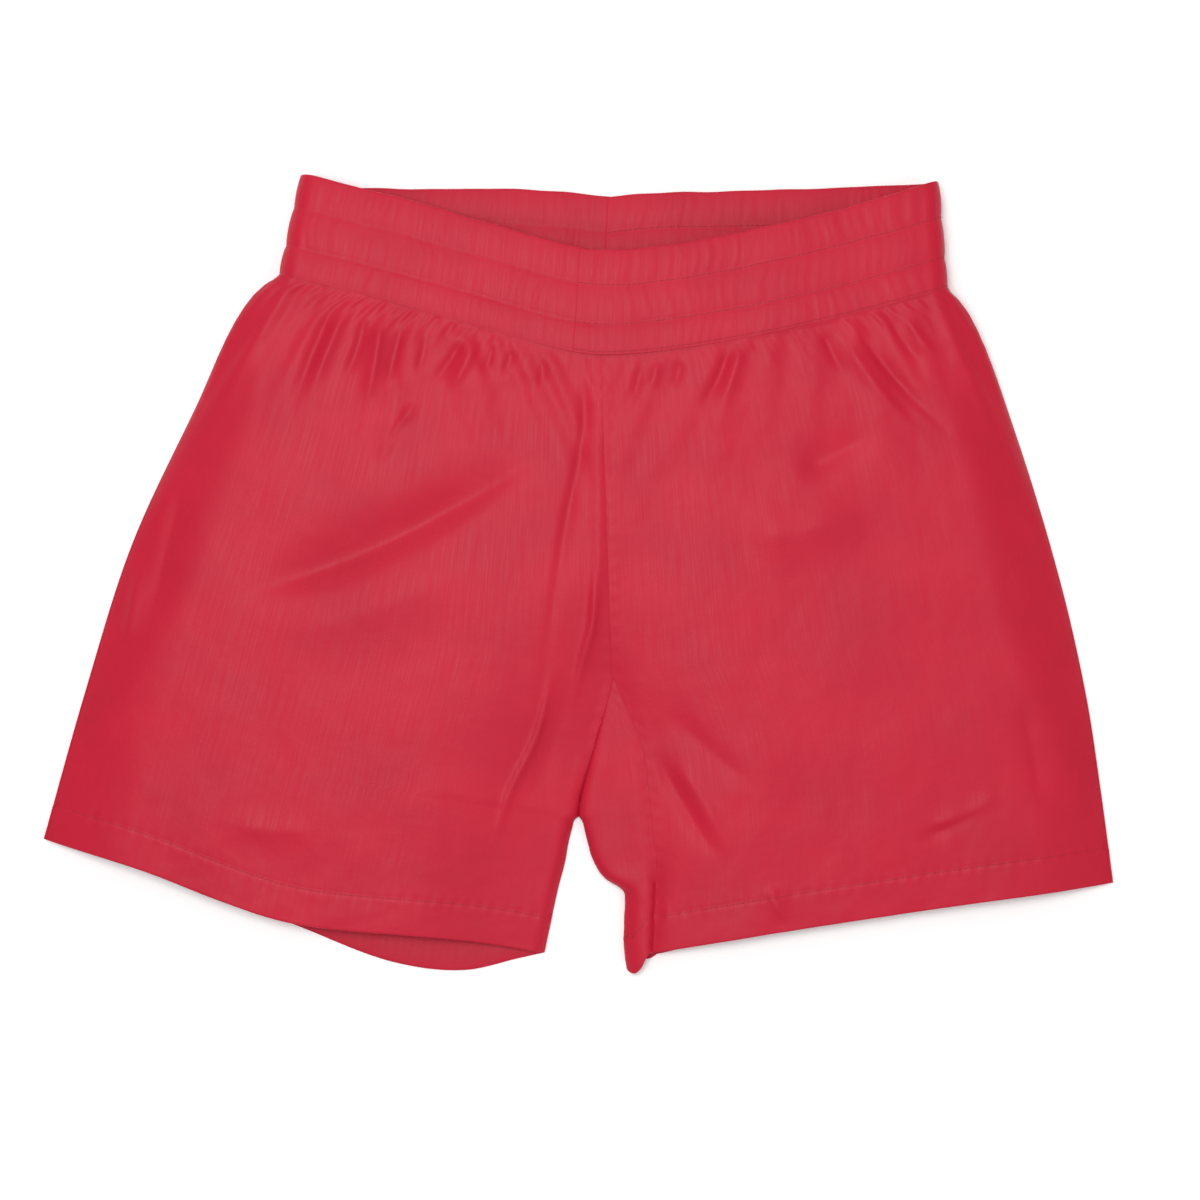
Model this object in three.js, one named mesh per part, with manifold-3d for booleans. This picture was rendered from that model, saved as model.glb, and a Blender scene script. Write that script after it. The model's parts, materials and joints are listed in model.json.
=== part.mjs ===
// Boxing shorts, lying flat: four cloth panels and an elasticated three-channel waistband.
// Millimetres. X runs across the shorts, Y from the hems up to the waist, Z up from the surface they lie on.
// "Left" is the side at -X. Each loop (band, elastic, stitching) is two halves that meet at the centre,
// where the shorts fold in half. At the crotch the cloth is folded: the gap between the legs lies below the
// crossing of the seams, and the back of the right leg comes round to the front as far as that leg's inseam.
import * as THREE from "three";
import { mergeVertices } from "three/addons/utils/BufferGeometryUtils.js";
import Module from "manifold-3d";

const wasm = await Module();
wasm.setup();

const { lerp, clamp, degToRad, smoothstep } = THREE.MathUtils;
const point = (x, y) => new THREE.Vector2(x, y);

// --- Driving dimensions ---------------------------------------------------------------------------
const GAP = 0.3; // between pieces that touch
const CLOTH = 1.2; // a panel's wall, with its creases
const THREAD = 0.5; // how far a row of stitches stands proud
const THREAD_WIDTH = 0.9;
const OVERLOCK = 0.8; // thickness of an overlocked seam allowance
const OVERLOCK_WIDTH = 6;
const HEM_FOLD = 1.0; // what the turned-up hem adds inside
const HEM_DEPTH = 20;

const WAIST_WIDTH = 338; // across the relaxed top edge
const BASE_WIDTH = 354; // across the seam under the band
const BAND_HEIGHT = 54;
const LOWER_CHANNEL = 16; // from the seam to the first row of stitches
const MIDDLE_CHANNEL = 20.5; // from the first row to the second
const SEAM_ROW = 1.5; // the band's edge stitching, above its lower edge
const BAND_CLOTH = 1.0; // each face of the folded band
const ELASTIC = 1.8;
const ELASTIC_MARGIN = 2; // the elastic's edges to the band's fold and seam
const BAND_HOLLOW = 12; // between the band's front run and its back run

const BODY = 243; // centre front, from the band to the gap between the legs
const FRONT_DIP = 39; // how far the waist drops at the centre front
const BACK_DIP = 6;
const CENTRE_TILT = degToRad(2.8); // as laid, the centre line leans to +X at the waist
const BASE_SHIFT = 5; // as laid, the waist lies a little to +X of the centre line
const TOP_SHIFT = 8;
const SIDE_DROOP = 3.5; // and its +X side lies lower
const CROTCH = point(17.9, 74.4); // where the four panels meet, from the gap between the legs
// As laid, each leg has its own spread from the centre line, and each half of the waist its own dip: dipBend is
// how much of the dip is a curve, which falls early if it is positive and late if it is negative.
const LEGS = {
  left: {
    sign: -1,
    outseam: 322,
    spread: 22.8,
    hip: 18.5,
    inner: 74,
    innerSpread: 13.8,
    hemSag: 15,
    backDrop: 16,
    dipBend: -0.2,
  },
  right: {
    sign: 1,
    outseam: 325,
    spread: 15.6,
    hip: 15,
    inner: 80,
    innerSpread: 20,
    hemSag: 0,
    backDrop: 8,
    dipBend: 0.35,
  },
};
const FLAP_END = point(39.1, -71.5); // the right inseam's lower end, on the front
const FLAP_CURVE = [point(34, 38), point(46, -18)]; // and what it bends towards on its way there

const HIP_LOFT = 17; // inside height of the body
const HEM_LOFT = 14; // inside height of a leg opening
const CROTCH_LOFT = 8; // inside height at the crotch and along the right inseam
const FLAP_RADIUS = 3.2; // of the fold in which the back of the right leg turns to the front
const LABEL_WIDTH = 30;
const LABEL_LENGTH = 38;
const LABEL_THICK = 0.4;

// --- Derived values -------------------------------------------------------------------------------
const BAND = 2 * BAND_CLOTH + ELASTIC + 2 * GAP; // the band's whole thickness
const BAND_FLOOR = THREAD + GAP; // keeps the stitches under the back run off the surface
const INNER_RADIUS = BAND_HOLLOW / 2; // of the band's turn at the side
const BAND_MIDDLE = BAND_FLOOR + BAND + INNER_RADIUS;
const TOP_LOFT = BAND_MIDDLE + INNER_RADIUS + (BAND - CLOTH) / 2; // the front panel meets the band's middle
const BACK_TOP = BAND_FLOOR + (BAND - CLOTH) / 2; // and so does the back panel
const TOP_CHANNEL = LOWER_CHANNEL + MIDDLE_CHANNEL;
const SEAM_LIFT = CLOTH + GAP; // a front panel's edge lies on the back panel's

const NOTCH = point(0, 0); // the top of the gap between the legs
const UP = point(Math.sin(CENTRE_TILT), Math.cos(CENTRE_TILT));
const BASE = NOTCH.clone().addScaledVector(UP, BODY + FRONT_DIP); // the band's lower edge, before it dips

// Shares of a panel's length, from the band (0) to the hem (1).
const INNER_LENGTH = BODY + (LEGS.left.inner + LEGS.right.inner) / 2;
const V_CROTCH = (BODY - CROTCH.y) / INNER_LENGTH;
const V_NOTCH = BODY / INNER_LENGTH;
const V_HEM = 1 - HEM_DEPTH / LEGS.left.outseam;
const V_BAND = V_CROTCH / 8; // where the back panel has come down from the band
const V_SIDE = 0.25; // where the side seam has come down from the band
const V_LOFT = 0.3; // where the body's height has come down from the band's
const V_FLAP = V_CROTCH + 0.05; // where the right leg's back starts to turn to the front

// Shares of a panel's width that rise from its edges.
const SIDE_ROLL = 0.17;
const TOP_ROLL = 0.08; // from the side, at the band
const INNER_ROLL = 0.24;

const mix = (a, b, t) => a.clone().lerp(b, t);
const between = (value, from, to) => clamp((value - from) / (to - from), 0, 1);
const steps = (from, to, count) => Array.from({ length: count + 1 }, (_, i) => lerp(from, to, i / count));
const easedSteps = (count) => steps(0, Math.PI, count).map((angle) => (1 - Math.cos(angle)) / 2);
const bulge = (t) => Math.sin((Math.PI / 2) * clamp(t, 0, 1));

// --- Plan of the shorts ----------------------------------------------------------------------------
// u runs from the side to the centre, v from the band to the hem, both 0 to 1.
const middle = (leg) => point((leg.sign * GAP) / 2, 0); // half a gap to the leg's own side
const fromBase = (x, y) => BASE.clone().add(point(x, y));
const halfOf = (leg, width) => (leg.sign * width) / 2;
const baseCorner = (leg) => fromBase(BASE_SHIFT + halfOf(leg, BASE_WIDTH), -leg.sign * SIDE_DROOP);
const topCorner = (leg) => fromBase(TOP_SHIFT + halfOf(leg, WAIST_WIDTH), BAND_HEIGHT - halfOf(leg, SIDE_DROOP));

// A point on the waist, from its side corner (u = 0) to its centre (u = 1), where it dips most.
const dipShape = (leg, u) => u * (1 + leg.dipBend * (1 - u));
const waistPoint = (leg, corner, centre, u, dip) =>
  mix(corner, centre, u).addScaledVector(UP, -dip * dipShape(leg, u));

const direction = (leg, degrees) => point(leg.sign * Math.sin(degToRad(degrees)), -Math.cos(degToRad(degrees)));
const hemCorner = (leg) => baseCorner(leg).addScaledVector(direction(leg, leg.spread), leg.outseam);
const innerCorner = (leg) =>
  NOTCH.clone().addScaledVector(direction(leg, leg.innerSpread), leg.inner).add(middle(leg));

const HIP_HIGH = 0.6; // below 1 it puts the hip's bulge nearer the band
function sideEdge(leg) {
  const from = baseCorner(leg).sub(point(0, GAP));
  const to = hemCorner(leg);
  const outward = direction(leg, leg.spread).rotateAround(NOTCH, (leg.sign * Math.PI) / 2);
  return (v) => mix(from, to, v).addScaledVector(outward, leg.hip * Math.sin(Math.PI * v ** HIP_HIGH));
}

function topEdge(leg, dip) {
  const corner = baseCorner(leg);
  const centre = BASE.clone().add(middle(leg));
  return (u) => waistPoint(leg, corner, centre, u, dip).sub(point(0, GAP));
}

// The centre seam down to the crotch, then to the gap between the legs, then the inside of the leg.
function innerEdge(leg, top) {
  const crotch = CROTCH.clone().add(middle(leg));
  const notch = NOTCH.clone().add(middle(leg));
  const end = innerCorner(leg);
  return (v) => {
    if (v < V_CROTCH) return mix(top, crotch, v / V_CROTCH);
    if (v < V_NOTCH) return mix(crotch, notch, between(v, V_CROTCH, V_NOTCH));
    return mix(notch, end, between(v, V_NOTCH, 1));
  };
}

// The right leg's front panel ends at its inseam, which lies on the front.
const rightInseam = new THREE.CubicBezierCurve(CROTCH.clone().add(middle(LEGS.right)), ...FLAP_CURVE, FLAP_END);
function frontInnerEdge(leg, top) {
  const seam = innerEdge(leg, top);
  return (v) => (leg === LEGS.right && v > V_CROTCH ? rightInseam.getPoint(between(v, V_CROTCH, 1)) : seam(v));
}

const SAG_FROM = 0.45; // the back hem's extra drop lies between these shares of the width
const SAG_FULL = 0.8;
const SAG_END = 0.15; // and fades over this share at the inside of the leg
const backDropShape = (u) => smoothstep(u, SAG_FROM, SAG_FULL) * smoothstep(1 - u, 0, SAG_END);
function hemEdge(leg, inner, isFront) {
  const from = hemCorner(leg);
  const drop = isFront ? 0 : leg.backDrop;
  const sag = (u) => leg.hemSag * Math.sin(Math.PI * u) ** 2 + drop * backDropShape(u);
  return (u) => mix(from, inner, u).sub(point(0, sag(u)));
}

// A smooth patch between a panel's four edges.
function plan(leg, isFront) {
  const top = topEdge(leg, isFront ? FRONT_DIP : BACK_DIP);
  const inner = (isFront ? frontInnerEdge : innerEdge)(leg, top(1));
  const side = sideEdge(leg);
  const hem = hemEdge(leg, inner(1), isFront);
  const corners = (u, v) => mix(mix(top(0), top(1), u), mix(hem(0), hem(1), u), v);
  return (u, v) => mix(top(u), hem(u), v).add(mix(side(v), inner(v), u)).sub(corners(u, v));
}

// --- Heights ---------------------------------------------------------------------------------------
const sideLift = (v) => lerp(BAND_MIDDLE, SEAM_LIFT, smoothstep(v, 0, V_SIDE));
const sideRoll = (v) => lerp(TOP_ROLL, SIDE_ROLL, smoothstep(v, 0, V_SIDE));
function loft(v) {
  if (v < V_LOFT) return lerp(TOP_LOFT, HIP_LOFT, smoothstep(v, 0, V_LOFT));
  return lerp(HIP_LOFT, HEM_LOFT, between(v, V_LOFT, 1));
}

// Height of a front panel's inner edge: open at the waist, low at the crotch, and shut along the left leg.
const CENTRE_FLAT = 4; // higher keeps the centre up for longer on the way to the crotch
function innerLift(leg, v) {
  if (v < V_CROTCH) return lerp(loft(v), CROTCH_LOFT, (v / V_CROTCH) ** CENTRE_FLAT);
  return leg === LEGS.right ? CROTCH_LOFT : lerp(CROTCH_LOFT, SEAM_LIFT, smoothstep(v, V_CROTCH, V_NOTCH));
}

// Height of a front panel's underside.
function frontHeight(leg, u, v) {
  if (u < 0.5) return lerp(sideLift(v), loft(v), bulge(u / sideRoll(v)));
  return lerp(innerLift(leg, v), loft(v), bulge((1 - u) / INNER_ROLL));
}

// Height of a back panel's underside: on the surface, and up at the band and at the top of the side seam.
function backHeight(leg, u, v) {
  const bandLift = BACK_TOP * clamp(1 - v / V_BAND, 0, 1);
  return lerp(sideLift(v) - SEAM_LIFT, bandLift, bulge(u / sideRoll(v)));
}

// --- Solids ----------------------------------------------------------------------------------------
// A box whose corners are carried to place(u, v, w) for the listed values of u, v and w.
function mapped(place, us, vs, ws) {
  const geometry = new THREE.BoxGeometry(1, 1, 1, us.length - 1, vs.length - 1, ws.length - 1);
  const position = geometry.attributes.position;
  // The box reaches half a unit to each side of its middle.
  const pick = (list, coordinate) => list[Math.round((coordinate + 1 / 2) * (list.length - 1))];
  for (let i = 0; i < position.count; i++) {
    const at = place(pick(us, position.getX(i)), pick(vs, position.getY(i)), pick(ws, position.getZ(i)));
    position.setXYZ(i, at.x, at.y, at.z);
  }
  geometry.deleteAttribute("normal");
  geometry.deleteAttribute("uv");
  return facingOut(mergeVertices(geometry, 1e-4));
}

// Turns every face round if the box was carried inside out.
function facingOut(geometry) {
  const index = geometry.index.array;
  const corner = (k) => new THREE.Vector3().fromBufferAttribute(geometry.attributes.position, index[k]);
  let volume = 0;
  for (let k = 0; k < index.length; k += 3) {
    volume += corner(k).dot(corner(k + 1).cross(corner(k + 2)));
  }
  if (volume < 0) index.reverse();
  return geometry;
}

function solidOf(geometry) {
  const vertProperties = geometry.attributes.position.array;
  const triVerts = new Uint32Array(geometry.index.array);
  return new wasm.Manifold(new wasm.Mesh({ numProp: 3, vertProperties, triVerts }));
}

function geometryOf(solid) {
  const mesh = solid.getMesh();
  const geometry = new THREE.BufferGeometry();
  geometry.setAttribute("position", new THREE.BufferAttribute(mesh.vertProperties, 3));
  geometry.setIndex(new THREE.BufferAttribute(mesh.triVerts, 1));
  return geometry;
}

// --- Panels, and what is sewn flat to them ---------------------------------------------------------
const COLUMNS = easedSteps(12);
const BODY_ROWS = steps(0, V_CROTCH, 8);
const LEG_ROWS = [...steps(V_CROTCH, V_NOTCH, 4).slice(1), ...steps(V_NOTCH, V_HEM, 3).slice(1)];
const HEM_STEP = 0.005; // length of the step into the hem's fold, as a share of the panel
const HEM_TAPER = 0.08; // share of the width over which that fold thins out at the seams

function panel(leg, isFront) {
  const at = plan(leg, isFront);
  const height = isFront ? frontHeight : backHeight;
  const place = (u, v, w) => {
    const fold = v > V_HEM ? HEM_FOLD * Math.min(1, u / HEM_TAPER, (1 - u) / HEM_TAPER) : 0;
    const { x, y } = at(u, v);
    const under = height(leg, u, v) - (isFront ? fold : 0);
    return new THREE.Vector3(x, y, under + w * (CLOTH + fold));
  };
  return mapped(place, COLUMNS, [...BODY_ROWS, ...LEG_ROWS, V_HEM + HEM_STEP, 1], [0, 1]);
}

// The part of the right leg's back that turns to the front: t runs round the turn (0 to 1) and on to the
// inseam (2), after a lap into the back panel, and w inward from the outer face.
const FLAP_LAP = 3;
const FLAP_STEPS = [-1, ...steps(0, 1, 6), ...steps(1, 2, 3).slice(1)];
function flapPlace(t, v, w) {
  const fold = plan(LEGS.right, false)(1, v);
  const seam = plan(LEGS.right, true)(1, v).sub(point(GAP, 0));
  const centre = fold.x + FLAP_RADIUS;
  if (t < 0) return new THREE.Vector3(centre + FLAP_LAP, fold.y, w);
  if (t > 1) {
    const top = lerp(2 * FLAP_RADIUS, CROTCH_LOFT + CLOTH, t - 1);
    return new THREE.Vector3(lerp(centre, seam.x, t - 1), lerp(fold.y, seam.y, t - 1), top - w);
  }
  const angle = Math.PI * t;
  const radius = FLAP_RADIUS - w;
  return new THREE.Vector3(centre - radius * Math.sin(angle), fold.y, FLAP_RADIUS - radius * Math.cos(angle));
}

function rightBackPanel() {
  const rows = [V_FLAP, ...LEG_ROWS.filter((v) => v > V_FLAP), 1];
  const flap = mapped(flapPlace, FLAP_STEPS, rows, [0, CLOTH]);
  return geometryOf(solidOf(panel(LEGS.right, false)).add(solidOf(flap)));
}

// A strip of the given thickness, lifted off the underside of a panel.
function strip(leg, isFront, us, vs, lift, thickness) {
  const at = plan(leg, isFront);
  const height = isFront ? frontHeight : backHeight;
  const place = (u, v, w) => {
    const { x, y } = at(u, v);
    return new THREE.Vector3(x, y, height(leg, u, v) + lift + w);
  };
  return mapped(place, us, vs, [0, thickness]);
}

const across = (width) => width / (BASE_WIDTH / 2); // a width as a share of a panel's
const along = (length) => length / LEGS.left.outseam; // a length as a share of a panel's
const SIDE_INSET = 0.03; // from the side seams and the left inseam, as a share of the width
const CENTRE_INSET = 0.005; // from the centre seams and the right inseam
const LABEL_INSET = 0.08;
const ON_BACK = CLOTH + GAP; // lift of a piece that lies on the inside of a back panel
const UNDER_FRONT = -GAP - OVERLOCK;
const OVERLOCK_START = 0.02; // short of the band and of the hem, as shares of the length
const OVERLOCK_END = V_HEM - OVERLOCK_START;

const fromSide = (inset, width) => [inset, inset + across(width)];
const fromCentre = (inset, width) => [1 - inset - across(width), 1 - inset];

function sideSeam(leg) {
  const rows = steps(V_SIDE + OVERLOCK_START, OVERLOCK_END, 8);
  return strip(leg, false, fromSide(SIDE_INSET, OVERLOCK_WIDTH), rows, ON_BACK, OVERLOCK);
}

function inseam(leg) {
  const isFront = leg === LEGS.right;
  const rows = [...LEG_ROWS.filter((v) => v < OVERLOCK_END), OVERLOCK_END];
  const inset = isFront ? CENTRE_INSET : SIDE_INSET;
  return strip(leg, isFront, fromCentre(inset, OVERLOCK_WIDTH), rows, isFront ? UNDER_FRONT : ON_BACK, OVERLOCK);
}

function rise(isFront) {
  const rows = [OVERLOCK_START, ...BODY_ROWS.slice(1)];
  const lift = isFront ? UNDER_FRONT : ON_BACK;
  return strip(LEGS.left, isFront, fromCentre(CENTRE_INSET, OVERLOCK_WIDTH), rows, lift, OVERLOCK);
}

function hemStitches(leg, isFront) {
  const row = V_HEM + 2 * HEM_STEP;
  const lift = isFront ? CLOTH + GAP : CLOTH + HEM_FOLD + GAP;
  return strip(leg, isFront, COLUMNS.slice(2, -2), [row, row + along(THREAD_WIDTH)], lift, THREAD);
}

function careLabel() {
  const rows = [0, V_BAND, along(LABEL_LENGTH)];
  return strip(LEGS.left, false, fromCentre(LABEL_INSET, LABEL_WIDTH), rows, ON_BACK, LABEL_THICK);
}

// --- Waistband -------------------------------------------------------------------------------------
// Half of the flattened loop: q runs from the centre front round the side (0.5) to the centre back, h is
// the height above the seam, and w the distance outward from the band's inner face.
const TURN = 0.12; // the share of q in which the band turns at the side
const BAND_STEPS = [
  ...steps(0, 0.5 - TURN / 2, 9),
  ...steps(0.5 - TURN / 2, 0.5 + TURN / 2, 8).slice(1),
  ...steps(0.5 + TURN / 2, 1, 9).slice(1),
];

// reach carries the ends past the centre, for a cut.
function bandPlace(leg, reach = 0) {
  return (q, h, w) => {
    const corner = mix(baseCorner(leg), topCorner(leg), h / BAND_HEIGHT);
    const centre = BASE.clone().addScaledVector(UP, h).add(middle(leg)).sub(point(leg.sign * reach, 0));
    const angle = (Math.PI / 2) * clamp((0.5 - q) / (TURN / 2), -1, 1);
    const straight = between(0.5 - Math.abs(q - 0.5), 0, 0.5 - TURN / 2);
    const radius = INNER_RADIUS + w;
    const turnAt = corner.x - leg.sign * (INNER_RADIUS + BAND);
    const x = lerp(centre.x, turnAt, straight) + leg.sign * radius * Math.cos(angle);
    const dip = lerp(BACK_DIP, FRONT_DIP, (1 + Math.sin(angle)) / 2);
    const at = waistPoint(leg, corner, centre, (x - corner.x) / (centre.x - corner.x), dip);
    return new THREE.Vector3(at.x, at.y, BAND_MIDDLE + radius * Math.sin(angle));
  };
}

// The cloth is folded over the elastic, so it is open along its lower edge and at the centre.
function bandCloth(leg) {
  const whole = mapped(bandPlace(leg), BAND_STEPS, [0, BAND_HEIGHT], [0, BAND]);
  const pocketHeights = [-1, BAND_HEIGHT - BAND_CLOTH];
  const pocket = mapped(bandPlace(leg, 1), BAND_STEPS, pocketHeights, [BAND_CLOTH, BAND - BAND_CLOTH]);
  return geometryOf(solidOf(whole).subtract(solidOf(pocket)));
}

function bandElastic(leg) {
  const heights = [ELASTIC_MARGIN, BAND_HEIGHT - BAND_CLOTH - ELASTIC_MARGIN];
  const inner = BAND_CLOTH + GAP;
  return mapped(bandPlace(leg), BAND_STEPS, heights, [inner, inner + ELASTIC]);
}

function bandStitches(leg, height) {
  const inner = BAND + GAP;
  return mapped(bandPlace(leg), BAND_STEPS, [height, height + THREAD_WIDTH], [inner, inner + THREAD]);
}

// --- The shorts ------------------------------------------------------------------------------------
const LOOKS = {
  cloth: { color: 0xc73345, roughness: 0.42, metalness: 0 },
  elastic: { color: 0xe9e6df, roughness: 0.85, metalness: 0 },
  thread: { color: 0xb82c3e, roughness: 0.6, metalness: 0 },
  label: { color: 0xf4f2ee, roughness: 0.6, metalness: 0 },
};

const shorts = new THREE.Group();

function add(name, look, geometry) {
  const mesh = new THREE.Mesh(geometry, new THREE.MeshStandardMaterial(LOOKS[look]));
  mesh.name = name;
  shorts.add(mesh);
}

for (const [side, leg] of Object.entries(LEGS)) {
  add(`front_${side}_panel`, "cloth", panel(leg, true));
  add(`back_${side}_panel`, "cloth", side === "right" ? rightBackPanel() : panel(leg, false));
  add(`waistband_${side}`, "cloth", bandCloth(leg));
  add(`waist_elastic_${side}`, "elastic", bandElastic(leg));
  add(`waist_seam_stitches_${side}`, "thread", bandStitches(leg, SEAM_ROW));
  add(`lower_channel_stitches_${side}`, "thread", bandStitches(leg, LOWER_CHANNEL));
  add(`upper_channel_stitches_${side}`, "thread", bandStitches(leg, TOP_CHANNEL));
  add(`side_seam_overlock_${side}`, "thread", sideSeam(leg));
  add(`inseam_overlock_${side}`, "thread", inseam(leg));
  add(`hem_stitches_front_${side}`, "thread", hemStitches(leg, true));
  add(`hem_stitches_back_${side}`, "thread", hemStitches(leg, false));
}
add("front_rise_overlock", "thread", rise(true));
add("back_rise_overlock", "thread", rise(false));
add("care_label", "label", careLabel());

// The origin is under the middle of the shorts' box.
const box = new THREE.Box3().setFromObject(shorts);
shorts.position.set(-(box.min.x + box.max.x) / 2, -(box.min.y + box.max.y) / 2, 0);

export default shorts;
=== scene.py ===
"""Boxing shorts in red satin, lying flat, built as an add-on that is run as a script.

Lengths in the code are millimetres in the row frame, and become metres when a mesh is made. X runs across the
shorts, Y from the hems up to the waist, and Z up from the surface they lie on. "Left" is the side at -X.
"""

import functools
import json
import math

import bmesh
import bpy
import numpy as np
from mathutils import Matrix, Vector


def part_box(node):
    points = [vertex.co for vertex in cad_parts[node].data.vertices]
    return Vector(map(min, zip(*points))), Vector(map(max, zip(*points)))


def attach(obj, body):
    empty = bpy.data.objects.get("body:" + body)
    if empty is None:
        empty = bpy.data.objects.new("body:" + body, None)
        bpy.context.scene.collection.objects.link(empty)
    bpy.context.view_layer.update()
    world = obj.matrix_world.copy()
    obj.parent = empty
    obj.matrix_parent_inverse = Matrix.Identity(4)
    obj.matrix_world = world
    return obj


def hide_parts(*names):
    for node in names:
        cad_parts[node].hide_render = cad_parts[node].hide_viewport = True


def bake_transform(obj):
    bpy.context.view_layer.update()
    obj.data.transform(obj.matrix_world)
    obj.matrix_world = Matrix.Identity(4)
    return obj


bl_info = {
    "name": "Boxing Shorts",
    "version": (1, 0, 0),
    "blender": (4, 5, 0),
    "location": "View3D > Sidebar > Shorts",
    "description": "Makes satin boxing shorts with an elasticated three-channel waistband, lying flat",
    "category": "Object",
}

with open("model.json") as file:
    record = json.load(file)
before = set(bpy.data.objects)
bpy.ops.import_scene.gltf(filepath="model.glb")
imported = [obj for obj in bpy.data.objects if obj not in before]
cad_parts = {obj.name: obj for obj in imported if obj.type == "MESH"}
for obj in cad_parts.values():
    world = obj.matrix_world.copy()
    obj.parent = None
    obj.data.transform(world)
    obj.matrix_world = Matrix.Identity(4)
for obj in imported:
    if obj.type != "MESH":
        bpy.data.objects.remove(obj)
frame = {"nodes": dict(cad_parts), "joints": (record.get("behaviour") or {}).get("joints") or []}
bpy.context.view_layer.update()

MM = 0.001
SIDES = ("left", "right")
SIGN = {"left": -1, "right": 1}


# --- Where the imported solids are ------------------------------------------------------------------


def corner(node, way):
    """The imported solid's corner that lies farthest along a direction in plan."""
    points = np.array([v.co for v in frame["nodes"][node].data.vertices]) / MM
    return points[np.argmax(points[:, :2] @ np.array(way, float)), :2]


def mirrored(side, way):
    return (-SIGN[side] * way[0], way[1])


FOLD_JOINT = frame["joints"][0]
NOTCH = np.array(FOLD_JOINT["pos_m"][:2]) / MM  # the top of the gap between the legs
UP = -np.array(FOLD_JOINT["axis"][:2])  # from there to the middle of the waist

FRONT = {side: f"front_{side}_panel" for side in SIDES}
BACK = {side: f"back_{side}_panel" for side in SIDES}
BASE = {s: corner(f"waistband_{s}", mirrored(s, (-1, -0.2))) for s in SIDES}
TOP = {s: corner(f"waistband_{s}", mirrored(s, (-0.3, 1))) for s in SIDES}
HEM_OUT = {s: corner(FRONT[s], mirrored(s, (-1, -0.3))) for s in SIDES}
HEM_IN = {s: corner(FRONT[s], mirrored(s, (1, -1))) for s in SIDES}
FLAP_HEM = corner(BACK["right"], (-1, -1))
CROTCH = corner(FRONT["left"], (1, 0))
FRONT_CENTRE = (corner(FRONT["left"], (1, 0.5)) + corner(FRONT["right"], (-1, 0.5))) / 2

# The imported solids' own sizes.
FRONT_DIP = 39.0
SEAM_GAP = 0.3
CENTRE = FRONT_CENTRE + UP * FRONT_DIP + (0, SEAM_GAP)  # the middle of the band's lower edge, before it dips
BAND_HEIGHT = 54.0
BAND = 4.4
BAND_MIDDLE = 11.2
INNER_RADIUS = 6.0
MIDDLE_RADIUS = INNER_RADIUS + BAND / 2
ROWS = (1.5, 16.0, 36.5)  # heights of the rows of stitches on the band
HEM_DEPTH = 20.0
HIP_LOFT = 17.0
HEM_LOFT = 14.0
TOP_LOFT = 18.8
CROTCH_LOFT = 8.0
BACK_TOP = 2.4

PANEL_LENGTH = 322.0
V_CROTCH = 0.527  # shares of a panel's length
V_NOTCH = 0.759
V_SIDE = 0.25  # the side seam has come down from the band here
V_LOFT = 0.3  # and the middle of the panel here
SIDE_ROLL = 0.17  # shares of a panel's width over which it turns down: at the side
TOP_ROLL = 0.08  # at the side under the band
INNER_ROLL = 0.24  # and at the centre

OUTWARD = {True: (0, 0, 1), False: (0, 0, -1)}  # the way that the outer face of a front and of a back looks


# --- Curves and waves -----------------------------------------------------------------------------


def lerp(a, b, t):
    return a + (b - a) * t


def eased(t):
    t = np.clip(t, 0.0, 1.0)
    return t * t * (3 - 2 * t)


def between(value, start, end):
    return np.clip((value - start) / (end - start), 0.0, 1.0)


def bulge(t):
    return np.sin(np.pi / 2 * np.clip(t, 0.0, 1.0))


def bell(t):
    return np.exp(-t * t)


def through(stops, t):
    """A smooth curve through stops, each a parameter and one or more values, at t."""
    stops = np.asarray(stops, float)
    at, values = stops[:, 0], stops[:, 1:]
    rise = np.diff(values, axis=0) / np.diff(at)[:, None]
    slope = np.vstack([rise[:1], (rise[1:] + rise[:-1]) / 2, rise[-1:]])
    t = np.clip(np.asarray(t, float), at[0], at[-1])
    i = np.clip(np.searchsorted(at, t, side="right") - 1, 0, len(at) - 2)
    span = at[i + 1] - at[i]
    k = ((t - at[i]) / span)[..., None]
    span = span[..., None]
    out = (
        values[i] * (1 + 2 * k) * (1 - k) ** 2
        + values[i + 1] * k * k * (3 - 2 * k)
        + span * slope[i] * k * (1 - k) ** 2
        - span * slope[i + 1] * k * k * (1 - k)
    )
    return out[..., 0] if out.shape[-1] == 1 else out


RIPPLE_WAVES = 9


def ripples(x, y, length, seed, stretch=1.0):
    """An even, aimless unevenness of about that wavelength, from -1 to 1; stretch makes it longer along y."""
    random = np.random.default_rng(seed)
    total = 0.0
    for _ in range(RIPPLE_WAVES):
        angle = random.uniform(0, 2 * np.pi)
        wave = 2 * np.pi / (length * random.uniform(0.7, 1.5))
        total = total + np.sin(
            wave * (x * np.cos(angle) + y * np.sin(angle) / stretch) + random.uniform(0, 6.28)
        )
    return total / (1.6 * math.sqrt(RIPPLE_WAVES))


FOLD_FADE = (0.3, 0.45)  # shares of a fold's length over which it rises at its start and sinks at its end


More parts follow.
